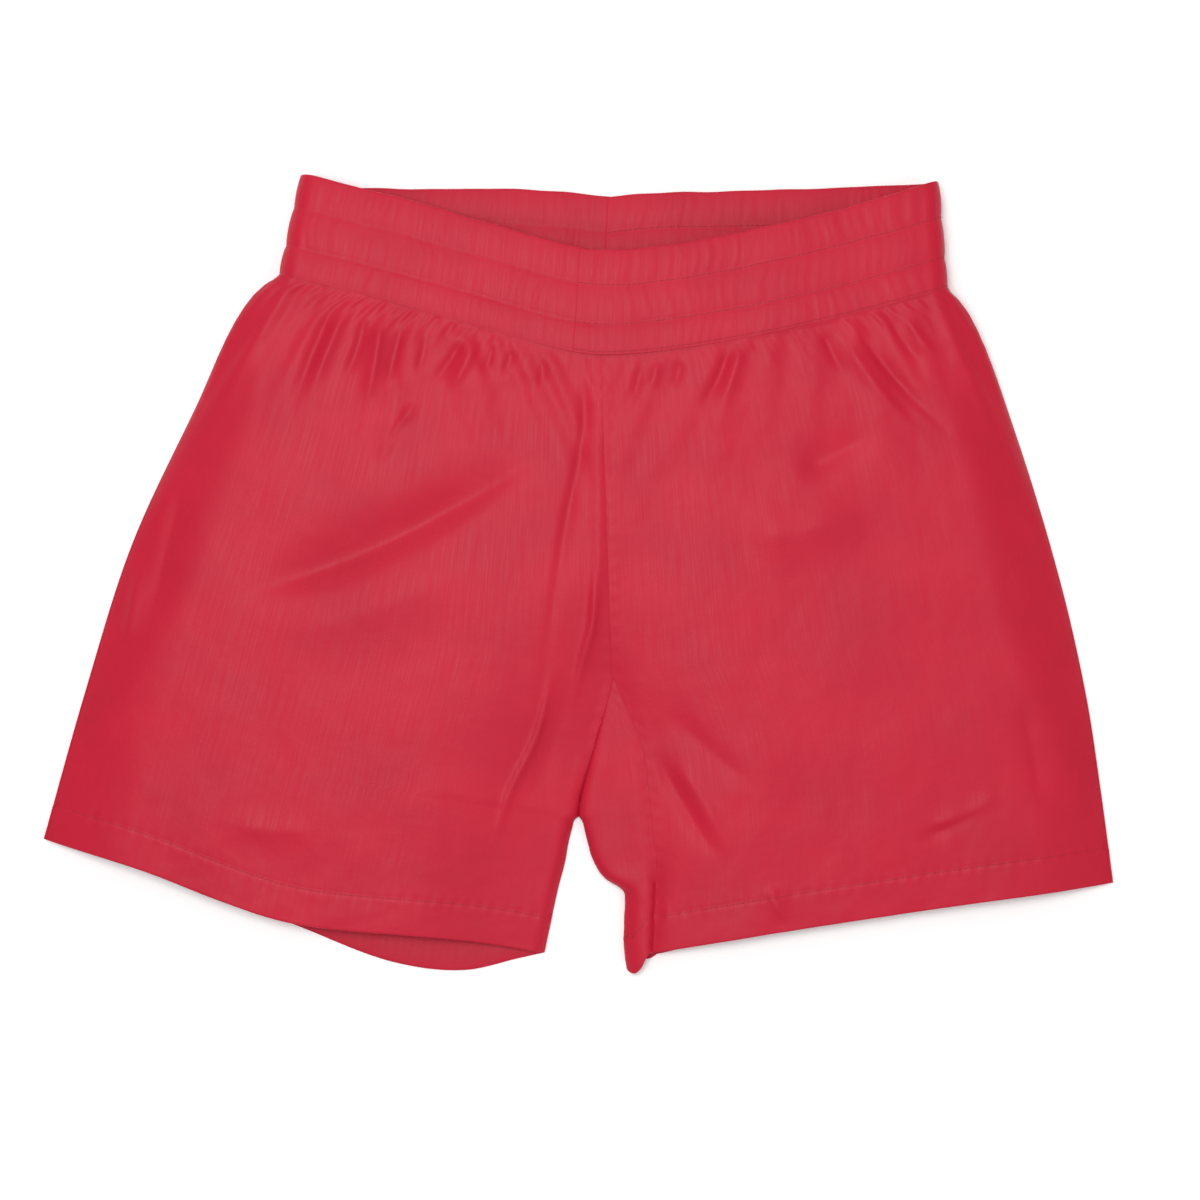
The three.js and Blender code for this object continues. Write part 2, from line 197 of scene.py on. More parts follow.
def crease(x, y, stops, width, height, lean):
    """The height of one long fold over plan points, which is wider on one side of its stops if it leans."""
    stops = np.asarray(stops, float)
    reach = 3.0 * width * (1 + abs(lean))
    low, high = stops.min(axis=0) - reach, stops.max(axis=0) + reach
    near = (x > low[0]) & (x < high[0]) & (y > low[1]) & (y < high[1])
    out = np.zeros_like(x)
    if not near.any():
        return out
    if len(stops) > 2:
        along = np.linspace(0, 1, len(stops))
        stops = through(np.column_stack([along, stops]), np.linspace(0, 1, 4 * len(stops)))
    px, py = x[near], y[near]
    best = np.full(px.shape, 1e9)
    side = np.zeros_like(best)
    share = np.zeros_like(best)
    pieces = len(stops) - 1
    for i in range(pieces):
        a, b = stops[i], stops[i + 1]
        d = b - a
        k = np.clip(((px - a[0]) * d[0] + (py - a[1]) * d[1]) / (d @ d), 0, 1)
        qx, qy = px - a[0] - k * d[0], py - a[1] - k * d[1]
        far = np.hypot(qx, qy)
        closer = far < best
        best = np.where(closer, far, best)
        side = np.where(closer, np.sign(d[0] * qy - d[1] * qx), side)
        share = np.where(closer, (i + k) / pieces, share)
    taper = eased(share / FOLD_FADE[0]) * eased((1 - share) / FOLD_FADE[1])
    out[near] = height * taper * np.exp(-((best / (0.8 * width * (1 + lean * side))) ** 1.6))
    return out


# --- Plan of the shorts ---------------------------------------------------------------------------

DIP_BEND = {"left": -0.2, "right": 0.35}  # the dip falls late on the left and early on the right
DIP_ROUND = 0.13  # rounds the lowest point of the waist, as a share of half its width
UNDER = 0.5  # the left front runs this far under the right half along the centre seam
NOTCH_WIDTH = 2.4  # how much wider the gap between the legs opens just under its top, which rounds it
TUCK = 1.5  # a panel's raw top edge lies this far up inside the band
# How far the back of the band hangs below the line between its ends, at shares of the way to the centre.
BACK_SLACK = {
    "left": [(0, 0), (0.06, 3.0), (0.14, 5.2), (0.3, 6.0), (0.6, 5.4), (0.84, 6.4), (1, 9.2)],
    "right": [(0, 0), (0.1, 1.1), (0.3, 3.0), (0.6, 5.2), (0.86, 6.6), (1, 9.2)],
}


def dip_shape(u, bend):
    """How far the front of the waist has dropped at a share u of the way from the side to the centre."""
    short = (np.sqrt((1 - u) ** 2 + DIP_ROUND**2) - DIP_ROUND) / (math.hypot(1, DIP_ROUND) - DIP_ROUND)
    return (1 - short) * (1 + bend * short)


def waist(x, h, front):
    """The waistband's plan point at x, h above its seam; front is 1 on its front run, 0 on its back run."""
    k = (h / BAND_HEIGHT)[..., None]
    centre = CENTRE + UP * h[..., None]
    left, right = (lerp(BASE[s], TOP[s], k) for s in SIDES)
    on_left = x < centre[..., 0]
    end = np.where(on_left[..., None], left, right)
    u = (x - end[..., 0]) / (centre[..., 0] - end[..., 0])
    dip = FRONT_DIP * dip_shape(u, np.where(on_left, DIP_BEND["left"], DIP_BEND["right"]))
    slack = np.where(on_left, through(BACK_SLACK["left"], u), through(BACK_SLACK["right"], u))
    return lerp(end, centre, u[..., None]) - UP * lerp(slack, dip, front)[..., None]


def run_of(side):
    """The length of the band's flat front run, at mid-height."""
    end = lerp(BASE[side], TOP[side], 0.5)[0] - SIGN[side] * (INNER_RADIUS + BAND)
    return abs(end - (CENTRE + UP * BAND_HEIGHT / 2)[0])


RUN = {side: run_of(side) for side in SIDES}
HALF = {side: RUN[side] + np.pi / 2 * MIDDLE_RADIUS for side in SIDES}  # centre front to side


def band_point(side, s, h, w):
    """A point of the band: s along it from the centre front to the centre back, h up from its seam, and w out
    from its inner face."""
    s, h, w = (np.asarray(a, float) for a in np.broadcast_arrays(s, h, w))
    sign = SIGN[side]
    k = h / BAND_HEIGHT
    turn_x = lerp(BASE[side][0], TOP[side][0], k) - sign * (INNER_RADIUS + BAND)
    centre_x = CENTRE[0] + UP[0] * h
    run, total = RUN[side], 2 * HALF[side]
    angle = np.clip(np.pi / 2 - (s - run) / MIDDLE_RADIUS, -np.pi / 2, np.pi / 2)
    straight = np.minimum(1.0, np.minimum(s / run, (total - s) / run))
    radius = INNER_RADIUS + w
    x = lerp(centre_x, turn_x, straight) + sign * radius * np.cos(angle)
    at = waist(x, h, (1 + np.sin(angle)) / 2)
    return np.stack([at[..., 0], at[..., 1], BAND_MIDDLE + radius * np.sin(angle)], -1)


# Each outline bends away from the straight line between its corners by these amounts.
SIDE_BEND = {
    "left": [(0, 0), (0.04, 7.2), (0.1, 12.0), (0.25, 14.4), (0.5, 17.3), (0.75, 10), (1, 0)],
    "right": [(0, 0), (0.04, 5.4), (0.1, 9.8), (0.2, 13.2), (0.5, 15.9), (0.7, 12.7), (0.86, 6.4), (1, 0)],
}
FRONT_HEM_SAG = [(0, 0), (0.2, 3.4), (0.35, 9.8), (0.48, 13.4), (0.6, 11), (0.72, 6.4), (0.86, 2), (1, 0)]
BACK_HEM_SAG = [(0, 0), (0.2, 3.2), (0.35, 9.6), (0.5, 15.4), (0.7, 23.3), (0.84, 19), (0.95, 6), (1, 0)]
RIGHT_FRONT_SAG = [(0, 0), (0.3, -1.4), (0.75, -1.4), (1, 0)]
RIGHT_BACK_SAG = [(0, 0), (0.3, -3.2), (0.8, -3.2), (0.93, 0), (1, 0)]
FLAP_BEND = [
    *[(0, 0), (0.16, -0.3), (0.3, -1), (0.44, 2), (0.52, 9)],
    *[(0.6, 8), (0.7, 4.9), (0.86, 0.5), (1, -2)],
]

# These lines go through plan points, in millimetres.
LEFT_CROTCH = [(0, *CROTCH), (0.62, 6.1, -98.3), (0.9, 0.8, -119.5), (1, *NOTCH)]
LEFT_INSEAM = [
    (0, *NOTCH),
    (0.17, -4.6, -139.7),
    (0.34, -7.2, -152.6),
    (0.55, -10.7, -166.0),
    (1, *HEM_IN["left"]),
]
RIGHT_INSEAM = [
    (0, *CROTCH),
    (0.25, 32.6, -87.7),
    (0.46, 37.9, -119.5),
    (0.71, 40.5, -156.6),
    (1, *HEM_IN["right"]),
]


def side_line(side, v):
    start, end = BASE[side], HEM_OUT[side]
    way = (end - start) / np.linalg.norm(end - start)
    outward = SIGN[side] * np.array([-way[1], way[0]])
    return lerp(start, end, v[:, None]) + through(SIDE_BEND[side], v)[:, None] * outward


def inner_line(side, is_front, v, top):
    """The centre seam down to the crotch, and then the inside of the leg."""
    rise = lerp(top, CROTCH, (v / V_CROTCH)[:, None])
    if side == "left":
        crotch = through(LEFT_CROTCH, between(v, V_CROTCH, V_NOTCH))
        leg = through(LEFT_INSEAM, between(v, V_NOTCH, 1))
        leg[:, 0] -= notch_round(v)
        if is_front:
            rise = rise + (UNDER, 0)
            crotch = crotch + (2 * UNDER, 0)
            leg[:, 0] += 2 * UNDER * (1 - eased(between(v, V_NOTCH, V_NOTCH + 0.006)))
        below = np.where((v < V_NOTCH)[:, None], crotch, leg)
    elif is_front:
        below = through(RIGHT_INSEAM, between(v, V_CROTCH, 1))
    else:
        below = fold_line(v)
    return np.where((v < V_CROTCH)[:, None], rise, below)


def notch_round(v):
    """Half of what rounds the top of the gap between the legs."""
    t = between(v, V_NOTCH + 0.004, 1)
    return NOTCH_WIDTH * (1 - np.exp(-t / 0.015)) * np.exp(-t / 0.06)


def fold_line(v):
    """The line at which the back of the right leg turns to the front."""
    crotch = through(LEFT_CROTCH, between(v, V_CROTCH, V_NOTCH)) + (SEAM_GAP, 0)
    t = between(v, V_NOTCH, 1)
    leg = lerp(NOTCH + (SEAM_GAP, 0), FLAP_HEM, t[:, None])
    leg[:, 0] += through(FLAP_BEND, t) + 0.8 * notch_round(v)
    return np.where((v < V_NOTCH)[:, None], crotch, leg)


def hem_line(side, is_front, u, inner):
    line = lerp(HEM_OUT[side], inner, u[:, None])
    if side == "left":
        line[:, 1] -= through(FRONT_HEM_SAG if is_front else BACK_HEM_SAG, u)
    else:
        line[:, 1] -= through(RIGHT_FRONT_SAG if is_front else RIGHT_BACK_SAG, u)
    return line


def seam_run(side, is_front, us):
    """How far along the band from the centre front a panel's columns are sewn to it."""
    return HALF[side] * (1 - us if is_front else 1 + us)


def plan(side, is_front, us, vs):
    """The plan of a panel, a smooth patch between its four outlines.

    Its rows run from the band to the hem, and its columns from the side to the centre.
    """
    top = band_point(side, seam_run(side, is_front, us), TUCK, BAND / 2)[:, :2]
    inner = inner_line(side, is_front, vs, top[-1])
    outer = side_line(side, vs)
    outer += (top[0] - outer[0]) * bell(vs / 0.02)[:, None]
    hem = hem_line(side, is_front, us, inner[-1])
    u, v = us[None, :, None], vs[:, None, None]
    corners = lerp(lerp(top[0], top[-1], u), lerp(hem[0], hem[-1], u), v)
    return lerp(top[None], hem[None], v) + lerp(outer[:, None], inner[:, None], u) - corners


# --- Heights --------------------------------------------------------------------------------------


SIDE_LIFT = 1.5  # height of the side seam, once it has come down from the band
LEG_SEAM_LIFT = 0.4  # height of the seam inside the left leg
FACE_RISE = 0.9  # the fronts' outer face lies this far above the middle of their wall
FRONT_DROP = 1.1  # how far the fronts turn down at the side seam
BACK_DROP = 1.5  # how far the backs' outer face lies below the side seam
BACK_RISE = 1.1  # and how far it comes up again to be sewn to the front
SEAM_RISE = 0.025  # share of the width over which it does
SUNK = 2.2  # how far the right front is pressed down beside the roll inside its leg
LEG_EDGE = 4.8  # height of the left leg's cloth beside its inner seam
LEG_TURN = 0.024  # shares of the width: where it turns down, and where it rises to the full height
LEG_SLOPE = 0.34


def side_lift(v):
    return lerp(BAND_MIDDLE, SIDE_LIFT, eased(v / V_SIDE))


def side_roll(v):
    return lerp(TOP_ROLL, SIDE_ROLL, eased(v / V_SIDE))


def loft(v):
    upper = lerp(TOP_LOFT, HIP_LOFT, eased(v / V_LOFT))
    return np.where(v < V_LOFT, upper, lerp(HIP_LOFT, HEM_LOFT, between(v, V_LOFT, 1)))


def inner_lift(side, v):
    """Height of the centre seam, and of the seam inside the leg."""
    rise = lerp(loft(v), CROTCH_LOFT, np.clip(v / V_CROTCH, 0, 1) ** 4)
    leg = CROTCH_LOFT
    if side == "left":
        leg = lerp(CROTCH_LOFT, LEG_SEAM_LIFT, eased(between(v, V_CROTCH + 0.02, V_NOTCH + 0.04)))
    return np.where(v < V_CROTCH, rise, leg)


def front_height(side, u, v):
    """Height of a front panel's outer face."""
    sunk = SUNK * eased(between(v, 0.8, 0.9)) * bell((1 - u) / 0.024) if side == "right" else 0.0
    from_side = lerp(side_lift(v) - FRONT_DROP, loft(v), bulge(u / side_roll(v)))
    from_inside = lerp(inner_lift(side, v) - sunk, loft(v), bulge((1 - u) / INNER_ROLL))
    if side == "left":  # inside its leg the cloth lies flatter, and turns down close to the seam
        edge = lerp(inner_lift(side, v), LEG_EDGE, bulge((1 - u) / LEG_TURN))
        flat = edge + (loft(v) - LEG_EDGE) * eased((1 - u) / LEG_SLOPE)
        from_inside = lerp(from_inside, flat, eased(between(v, V_CROTCH - 0.08, V_NOTCH)))
    return FACE_RISE + np.where(u < 0.5, from_side, from_inside)


def back_height(side, u, v):
    """Height of a back panel's outer face, which lies on the surface."""
    band_lift = BACK_TOP * np.clip(1 - v / (V_CROTCH / 8), 0, 1)
    height = lerp(side_lift(v) - BACK_DROP, band_lift, bulge(u / side_roll(v)))
    height = height + BACK_RISE * np.clip(1 - u / SEAM_RISE, 0, 1) ** 2
    if side == "right":
        return height
    crotch = eased(between(v, V_CROTCH - 0.14, V_CROTCH)) * inner_lift(side, np.maximum(v, V_CROTCH))
    return height + (crotch + LEG_SEAM_LIFT * (v > V_CROTCH)) * np.clip(1 - (1 - u) / 0.1, 0, 1) ** 2


# --- Folds ----------------------------------------------------------------------------------------
# Each fold: its line, its width, its height (down if negative) and how much it leans.

FRONT_FOLDS = [
    # The long fall from the left hip, and the gathers beside it.
    ([(-128, 142), (-139, 116), (-153, 79)], 5.5, -1.9, 0.25),
    ([(-121, 141), (-131, 118), (-142, 92)], 5.0, 1.7, -0.2),
    ([(-111, 138), (-116, 118), (-124, 98)], 3.6, -1.4, 0.2),
    ([(-103, 136), (-106, 112), (-112, 84)], 4.0, 1.5, -0.2),
    ([(-92, 131), (-97, 112), (-102, 96)], 3.2, -1.1, 0),
    ([(-84, 92), (-94, 78), (-103, 62)], 3.6, 1.2, 0.3),
    ([(-88, 84), (-98, 70), (-107, 55)], 3.6, -0.8, 0),
    ([(-79, 129), (-82, 114), (-86, 103)], 3.0, -0.9, 0),
    ([(-60, 124), (-68, 111), (-77, 99)], 3.8, -1.4, 0.2),
    ([(-52, 124), (-60, 108), (-69, 92)], 4.2, 1.2, -0.2),
    ([(-44, 122), (-47, 112), (-50, 104)], 2.8, -0.9, 0),
    ([(-34, 120), (-37, 110), (-41, 101)], 3.0, -0.9, 0),
    ([(-18, 115), (-19, 104), (-21, 95)], 3.0, -0.7, 0),
    # The centre, where the seam stands up as a ridge with a fall beside it.
    ([(9, 114), (11.4, 45), (9.8, -13), (-3, -69)], 5.0, 1.5, 0.2),
    ([(2.4, 111), (1.9, 71), (-8, 20), (-20, -66)], 4.5, -1.5, 0.3),
    ([(33, 112), (31, 100), (29, 90)], 3.0, -0.7, 0),
    ([(42, 113), (40, 103), (38, 95)], 3.0, 0.7, 0),
    ([(54, 114), (52, 104), (50, 96)], 3.2, -0.7, 0),
    # Right hip.
    ([(80, 122), (74, 104), (64, 87)], 4.2, -1.6, 0.2),
    ([(86, 122), (81, 104), (73, 84)], 4.6, 1.1, -0.2),
    ([(128, 128), (133, 116), (141, 102)], 3.6, -1.1, 0),
    ([(144, 131), (158, 112), (173, 95), (202, 66)], 4.4, -1.7, 0.25),
    ([(136, 129), (149, 108), (165, 88), (190, 62)], 5.5, 1.3, -0.2),
    ([(160, 136), (170, 122), (182, 108)], 3.6, -1.1, 0),
    ([(171, 134), (180, 122), (190, 111)], 3.4, 0.9, 0),
    # The broad fall across the left leg from the hip to the middle.
    ([(-187, -13), (-120, 8), (-60, 38), (-10, 71)], 14.0, -4.2, 0.35),
    ([(-165, -36), (-100, -14), (-40, 12)], 22.0, 1.8, 0),
    ([(-13, -45), (-22, -83), (-37, -115), (-46, -145)], 2.4, 1.5, 0.45),
    ([(-4, -50), (-14, -90), (-28, -125)], 8.0, -0.7, 0),
    ([(8, 10), (7, -23), (1, -47), (-5, -76)], 2.3, 1.4, 0.45),
    ([(-238, -40), (-234, -14), (-230, 10)], 5.0, 1.2, 0),
    ([(-206, 55), (-218, 10), (-227, -35)], 8.0, -1.6, 0.3),
    ([(-190, -130), (-160, -134), (-131, -135)], 9.0, 0.9, 0),
    # Right leg: the pull from the crotch, the fullness over the thigh and the slack above the hem.
    ([(36, -90), (50, -112), (64, -136), (76, -153)], 6.0, -1.3, 0.2),
    ([(50, -96), (66, -121), (86, -158)], 7.0, 1.1, -0.2),
    ([(44, -70), (72, -96), (98, -116)], 9.0, -1.2, 0),
    ([(84, 18), (120, 24), (158, 34)], 20.0, 2.2, 0),
    ([(112, 52), (136, 64), (160, 78)], 12.0, -2.0, 0.2),
    ([(176, -141), (198, -131), (218, -119)], 5.0, -1.2, 0),
    ([(180, -134), (205, -126), (222, -113)], 5.5, 1.1, 0),
    ([(101, -162), (104, -173), (109, -184)], 5.0, 1.1, 0),
    ([(232, -60), (240, -98), (246, -132)], 8.0, -1.2, 0.2),
]
BACK_FOLDS = [
    ([(-120, 140), (-124, 60), (-150, -20)], 9.0, -1.4, 0.2),
    ([(-60, 138), (-62, 70), (-72, 10)], 8.0, -1.2, 0),
    ([(60, 132), (66, 70), (80, 10)], 9.0, -1.3, 0.2),
    ([(130, 128), (144, 60), (168, -10)], 8.0, -1.2, 0),
]


class Sizes(bpy.types.PropertyGroup):
    """What a user would change about the cloth and its sewing."""

    cloth: bpy.props.FloatProperty(
        name="Cloth", description="Thickness of the satin",
        default=0.35 * MM, min=0.1 * MM, unit="LENGTH",
    )
    fold_height: bpy.props.FloatProperty(
        name="Folds", description="Height of the long folds, as a share of the usual",
        default=1.35, min=0, max=3,
    )
    gather_height: bpy.props.FloatProperty(
        name="Gathers", description="Height of the gathers under the band",
        default=1.25 * MM, min=0, unit="LENGTH",
    )
    pucker_height: bpy.props.FloatProperty(
        name="Puckers", description="Height of the puckers in the band",
        default=0.42 * MM, min=0, unit="LENGTH",
    )
    puff: bpy.props.FloatProperty(
        name="Channel puff", description="How far the band swells between its rows",
        default=0.85 * MM, unit="LENGTH",
    )
    stitch: bpy.props.FloatProperty(
        name="Stitch", description="Length of one stitch", default=2.8 * MM, min=1 * MM, unit="LENGTH"
    )
    stitch_width: bpy.props.FloatProperty(
        name="Thread", description="Width of a stitch", default=0.42 * MM, min=0.1 * MM, unit="LENGTH"
    )


class Colours(bpy.types.PropertyGroup):
    """The finishes, as sRGB hex values."""

    satin: bpy.props.StringProperty(name="Satin", description="Main cloth", default="#B8112E")
    thread: bpy.props.StringProperty(name="Thread", description="Sewing thread", default="#A8162A")
    elastic: bpy.props.StringProperty(name="Elastic", description="Woven elastic", default="#E9E6DF")
    label: bpy.props.StringProperty(name="Label", description="Satin ribbon of the label", default="#F4F2EE")
    floor: bpy.props.StringProperty(name="Floor", description="Surface under the shorts", default="#FFFFFF")


def sizes():
    return bpy.context.scene.shorts_sizes


def colours():
    return bpy.context.scene.shorts_colours


# --- Grids of cloth -------------------------------------------------------------------------------

COLUMNS = 177  # odd, so that every other column and row makes the coarser cloth that is simulated
OUTER_ROWS = 217
HEM_ROWS = 15


def grid_places(bm, rows, columns):
    """The row and column of each of a new grid's vertices."""
    flat = np.array([v.co[:2] for v in bm.verts])
    column = np.rint((flat[:, 0] + 1) / 2 * (columns - 1)).astype(int)
    row = np.rint((flat[:, 1] + 1) / 2 * (rows - 1)).astype(int)
    return row, column


def normals_of(points, outward):
    """Unit normals of a grid of points, on the side given for its middle."""
    n = np.cross(np.gradient(points, axis=0), np.gradient(points, axis=1))
    n /= np.maximum(np.linalg.norm(n, axis=-1, keepdims=True), 1e-9)
    middle = n[n.shape[0] // 2, n.shape[1] // 4]
    return n if middle @ np.asarray(outward, float) > 0 else -n


def lengths(points, axis):
    step = np.linalg.norm(np.diff(points, axis=axis), axis=-1)
    return np.concatenate([np.zeros_like(np.take(step, [0], axis)), np.cumsum(step, axis)], axis)


def gathers(along, depth, seed, strength, lean):
    """The fullness that the seam takes up: many short soft folds that start at it and die out below.

    With lean they run outwards on their way down.
    """
    random = np.random.default_rng(seed)
    total = np.zeros_like(depth)
    at = along.min() - 4
    while at < along.max() + 4:
        width = random.uniform(1.1, 2.3)
        reach = random.uniform(8, 24) * (0.5 + 0.8 * strength(at))
        height = random.uniform(0.35, 1.0) * strength(at)
        drift = random.uniform(-0.12, 0.12) + 0.22 * lean
        spread = 1 + 0.03 * np.maximum(depth, 0)
        total += height * bell((along - at - drift * depth) / (width * spread)) * bell(depth / reach)
        at += width * random.uniform(1.9, 3.4)
    return (total - 0.25) * between(depth, -0.5, 2.5) * bell(np.maximum(depth, 0) / 40)


# How full the gathers are at distances from the centre: most towards the hips, least in the middle.
GATHER_STRENGTH = {
    "left": ([0, 20, 45, 120, 160, 180], [0.1, 0.15, 0.55, 1.1, 0.9, 0.4]),
    "right": ([0, 35, 70, 110, 150, 180], [0.12, 0.2, 0.35, 0.5, 0.8, 0.4]),
}


def strength_of(side, is_front):
    """A function of the distance along the band that gives how full the gathers are."""

    def strength(s):
        return float(np.interp(s if is_front else 2 * HALF[side] - s, *GATHER_STRENGTH[side]))

    return strength


# --- Settling the cloth ---------------------------------------------------------------------------

SETTLE_SCALE = 0.01  # the simulation runs ten times larger than life, where its defaults are steady
GATHER_FRAMES = 14  # the cloth is drawn in over these, and the rest let it settle
SETTLE_FRAMES = 24
FULLNESS = 0.034  # how much wider a panel is cut than the band holds it, at most
WRINKLE_CAP = 1.8  # no fold that settles is higher than this


def blurred(grid, sigma):
    reach = int(3 * sigma) + 1
    kernel = bell(np.arange(-reach, reach + 1) / (1.414 * sigma))
    kernel /= kernel.sum()
    for axis in (0, 1):
        padded = np.pad(grid, [(reach, reach) if a == axis else (0, 0) for a in (0, 1)], mode="edge")
        grid = np.apply_along_axis(lambda line: np.convolve(line, kernel, "valid"), axis, padded)
    return grid


def doubled(grid, axis):
    """Puts a smooth in-between value between every two along an axis."""
    grid = np.moveaxis(grid, axis, 0)
    ends = np.concatenate([2 * grid[:1] - grid[1:2], grid, 2 * grid[-1:] - grid[-2:-1]])
    out = np.empty((2 * len(grid) - 1, *grid.shape[1:]))
    out[::2] = grid
    out[1::2] = (9 * (ends[1:-2] + ends[2:-1]) - ends[:-3] - ends[3:]) / 16
    return np.moveaxis(out, 0, axis)


def settled(start, cut, held):
    """Simulates a sheet that is cut to one shape, is drawn to another where it is held, and settles."""
    rows, columns = start.shape[:2]
    bm = bmesh.new()
    bmesh.ops.create_grid(bm, x_segments=columns - 1, y_segments=rows - 1, size=1.0)
    row, column = grid_places(bm, rows, columns)
    mesh = bpy.data.meshes.new("settling")
    bm.to_mesh(mesh)
    bm.free()
    mesh.vertices.foreach_set("co", (start[row, column] * SETTLE_SCALE).astype(np.float32).ravel())
    obj = bpy.data.objects.new("settling", mesh)
    bpy.context.scene.collection.objects.link(obj)
    group = obj.vertex_groups.new(name="held")
    for index, weight in enumerate(held[row, column]):
        group.add([index], float(weight), "REPLACE")
    obj.shape_key_add(name="laid")
    wide = obj.shape_key_add(name="cut")
    wide.data.foreach_set("co", (cut[row, column] * SETTLE_SCALE).astype(np.float32).ravel())
    for frame_number, value in ((1, 1.0), (GATHER_FRAMES, 0.0)):
        wide.value = value
        wide.keyframe_insert("value", frame=frame_number)
    modifier = obj.modifiers.new("Cloth", "CLOTH")
    cloth = modifier.settings
    cloth.quality = 5
    cloth.mass = 0.15
    cloth.air_damping = 2.0
    cloth.tension_stiffness = cloth.compression_stiffness = 20.0
    cloth.shear_stiffness = 8.0
    cloth.bending_stiffness = 0.2
    cloth.tension_damping = cloth.compression_damping = cloth.shear_damping = 10.0
    cloth.bending_damping = 0.8
    cloth.vertex_group_mass = "held"
    cloth.effector_weights.gravity = 0.0
    modifier.point_cache.frame_start = 1
    modifier.point_cache.frame_end = SETTLE_FRAMES
    scene = bpy.context.scene
    for number in range(1, SETTLE_FRAMES + 1):
        scene.frame_set(number)
    shown = obj.evaluated_get(bpy.context.evaluated_depsgraph_get())
    final = shown.to_mesh()
    flat = np.zeros(len(final.vertices) * 3, np.float32)
    final.vertices.foreach_get("co", flat)
    shown.to_mesh_clear()
    out = np.empty_like(start)
    out[row, column] = flat.reshape(-1, 3) / SETTLE_SCALE
    keys, action = mesh.shape_keys, mesh.shape_keys.animation_data.action
    keys.animation_data_clear()
    bpy.data.objects.remove(obj)
    bpy.data.meshes.remove(mesh)
    bpy.data.actions.remove(action)
    scene.frame_set(1)
    return out


def wrinkles(side, is_front, points):
    """The folds that the cloth makes by itself, where it is cut wider than the band that gathers it."""
    start = points[::2, ::2]
    normal = normals_of(start, OUTWARD[is_front])
    us = np.linspace(0, 1, start.shape[1])
    depth = lengths(start, 0) - TUCK
    edge = np.minimum(us, 1 - us)[None] / 0.04
    seeds = sum(crease(start[..., 0], start[..., 1], *f) for f in (FRONT_FOLDS if is_front else BACK_FOLDS))
    seeds = 0.5 * seeds + 0.25 * ripples(start[..., 0], start[..., 1], 14, 5)
    start = start + normal * (seeds * np.clip(edge, 0, 1) * between(depth, 0, 6))[..., None]
    strength = strength_of(side, is_front)
    spare = np.array([strength(s) for s in seam_run(side, is_front, us)])[None]
    spare = spare * np.exp(-((np.maximum(depth, 0) / 48) ** 1.3))
    wider = 1 + (FULLNESS if is_front else 0.6 * FULLNESS) * spare
    middle = start.shape[1] // 2
    step = np.diff(start[..., 0], axis=1) * (wider[:, 1:] + wider[:, :-1]) / 2
    run = np.concatenate([np.zeros((len(step), 1)), np.cumsum(step, 1)], 1)
    cut = start.copy()
    cut[..., 0] = start[:, middle : middle + 1, 0] + run - run[:, middle : middle + 1]
    held = np.zeros(start.shape[:2])
    held[1] = 0.6
    held[:, 1] = held[:, -2] = 0.4
    held[0] = held[:, 0] = held[:, -1] = 1.0
    moved = ((settled(start, cut, held) - start) * normal).sum(-1)
    folds = blurred(moved, 0.7) - blurred(moved, 6.0)
    folds = WRINKLE_CAP * np.tanh(folds / WRINKLE_CAP) * lerp(1.0, 0.3, eased(depth / 110))
    return doubled(doubled(folds, 0), 1)


def seam_groove(distance, width, depth):
    return -depth * bell(distance / width)


def raised(side, is_front, points, loose):
    """Adds the folds, gathers and seams to a panel's even shape; loose are the folds it made in settling."""
    normal = normals_of(points, OUTWARD[is_front])
    x, y = points[..., 0], points[..., 1]
    down = lengths(points, 0) - TUCK
    across = lengths(points, 1)
    width = across[:, -1:]
    folds = np.zeros_like(x)
    for line, breadth, height, lean in FRONT_FOLDS if is_front else BACK_FOLDS:
        folds += crease(x, y, line, breadth, height, lean)
    folds *= sizes().fold_height
    along = np.broadcast_to(seam_run(side, is_front, np.linspace(0, 1, x.shape[1])), x.shape)
    seed = 11 + (side == "right") + 2 * is_front
    full = gathers(along, down, seed, strength_of(side, is_front), 1.0 if is_front else 0.3)
    full *= sizes().gather_height / MM
    uneven = 0.4 * ripples(x, y, 52, seed + 20) + 0.07 * ripples(x, y, 17, seed + 30, stretch=2.5)
    edge = np.minimum(across, width - across)
    calm = between(edge, 0, 9) * between(down, 0, 10)
    if not is_front:
        folds, uneven = folds * 0.6, uneven * 0.5
        full = full * 0.7
    total = (folds + uneven) * calm + full * between(edge, 0, 4)
    total += loose * between(edge, 0, 5) * between(down, 0, 3)
    total += seam_groove(across, 1.0, 0.3)
    if side == "left" and is_front:
        total += seam_groove(width - across, 0.7, 0.3)  # it runs a little way under the other half
    total += puckered_seam(down, edge, seed) * between(edge, 0, 2)
    bottom = down[-1:] - down
    total += hem_relief(bottom, across, seed)
    # In the seam under the band it lies low, lowest just right of the centre.
    neck = bell(np.maximum(down, 0) / 1.2)
    total = lerp(total, 0.5 - 0.75 * bell((x - 25) / 45), neck)
    return points + normal * total[..., None], normal


def puckered_seam(down, edge, seed):
    """Sewing draws the cloth up a little beside the long seams."""
    wave = np.sin(down * 2 * np.pi / 9.0 + 2.2 * np.sin(down / 23.0 + seed))
    return 0.13 * wave * bell((edge - 2.2) / 2.2)


HEM_ROW = HEM_DEPTH - 1.5  # height of a hem's row of stitches above its edge
HEM_DROP = 1.15  # the turned-up cloth lies this far inside the outer


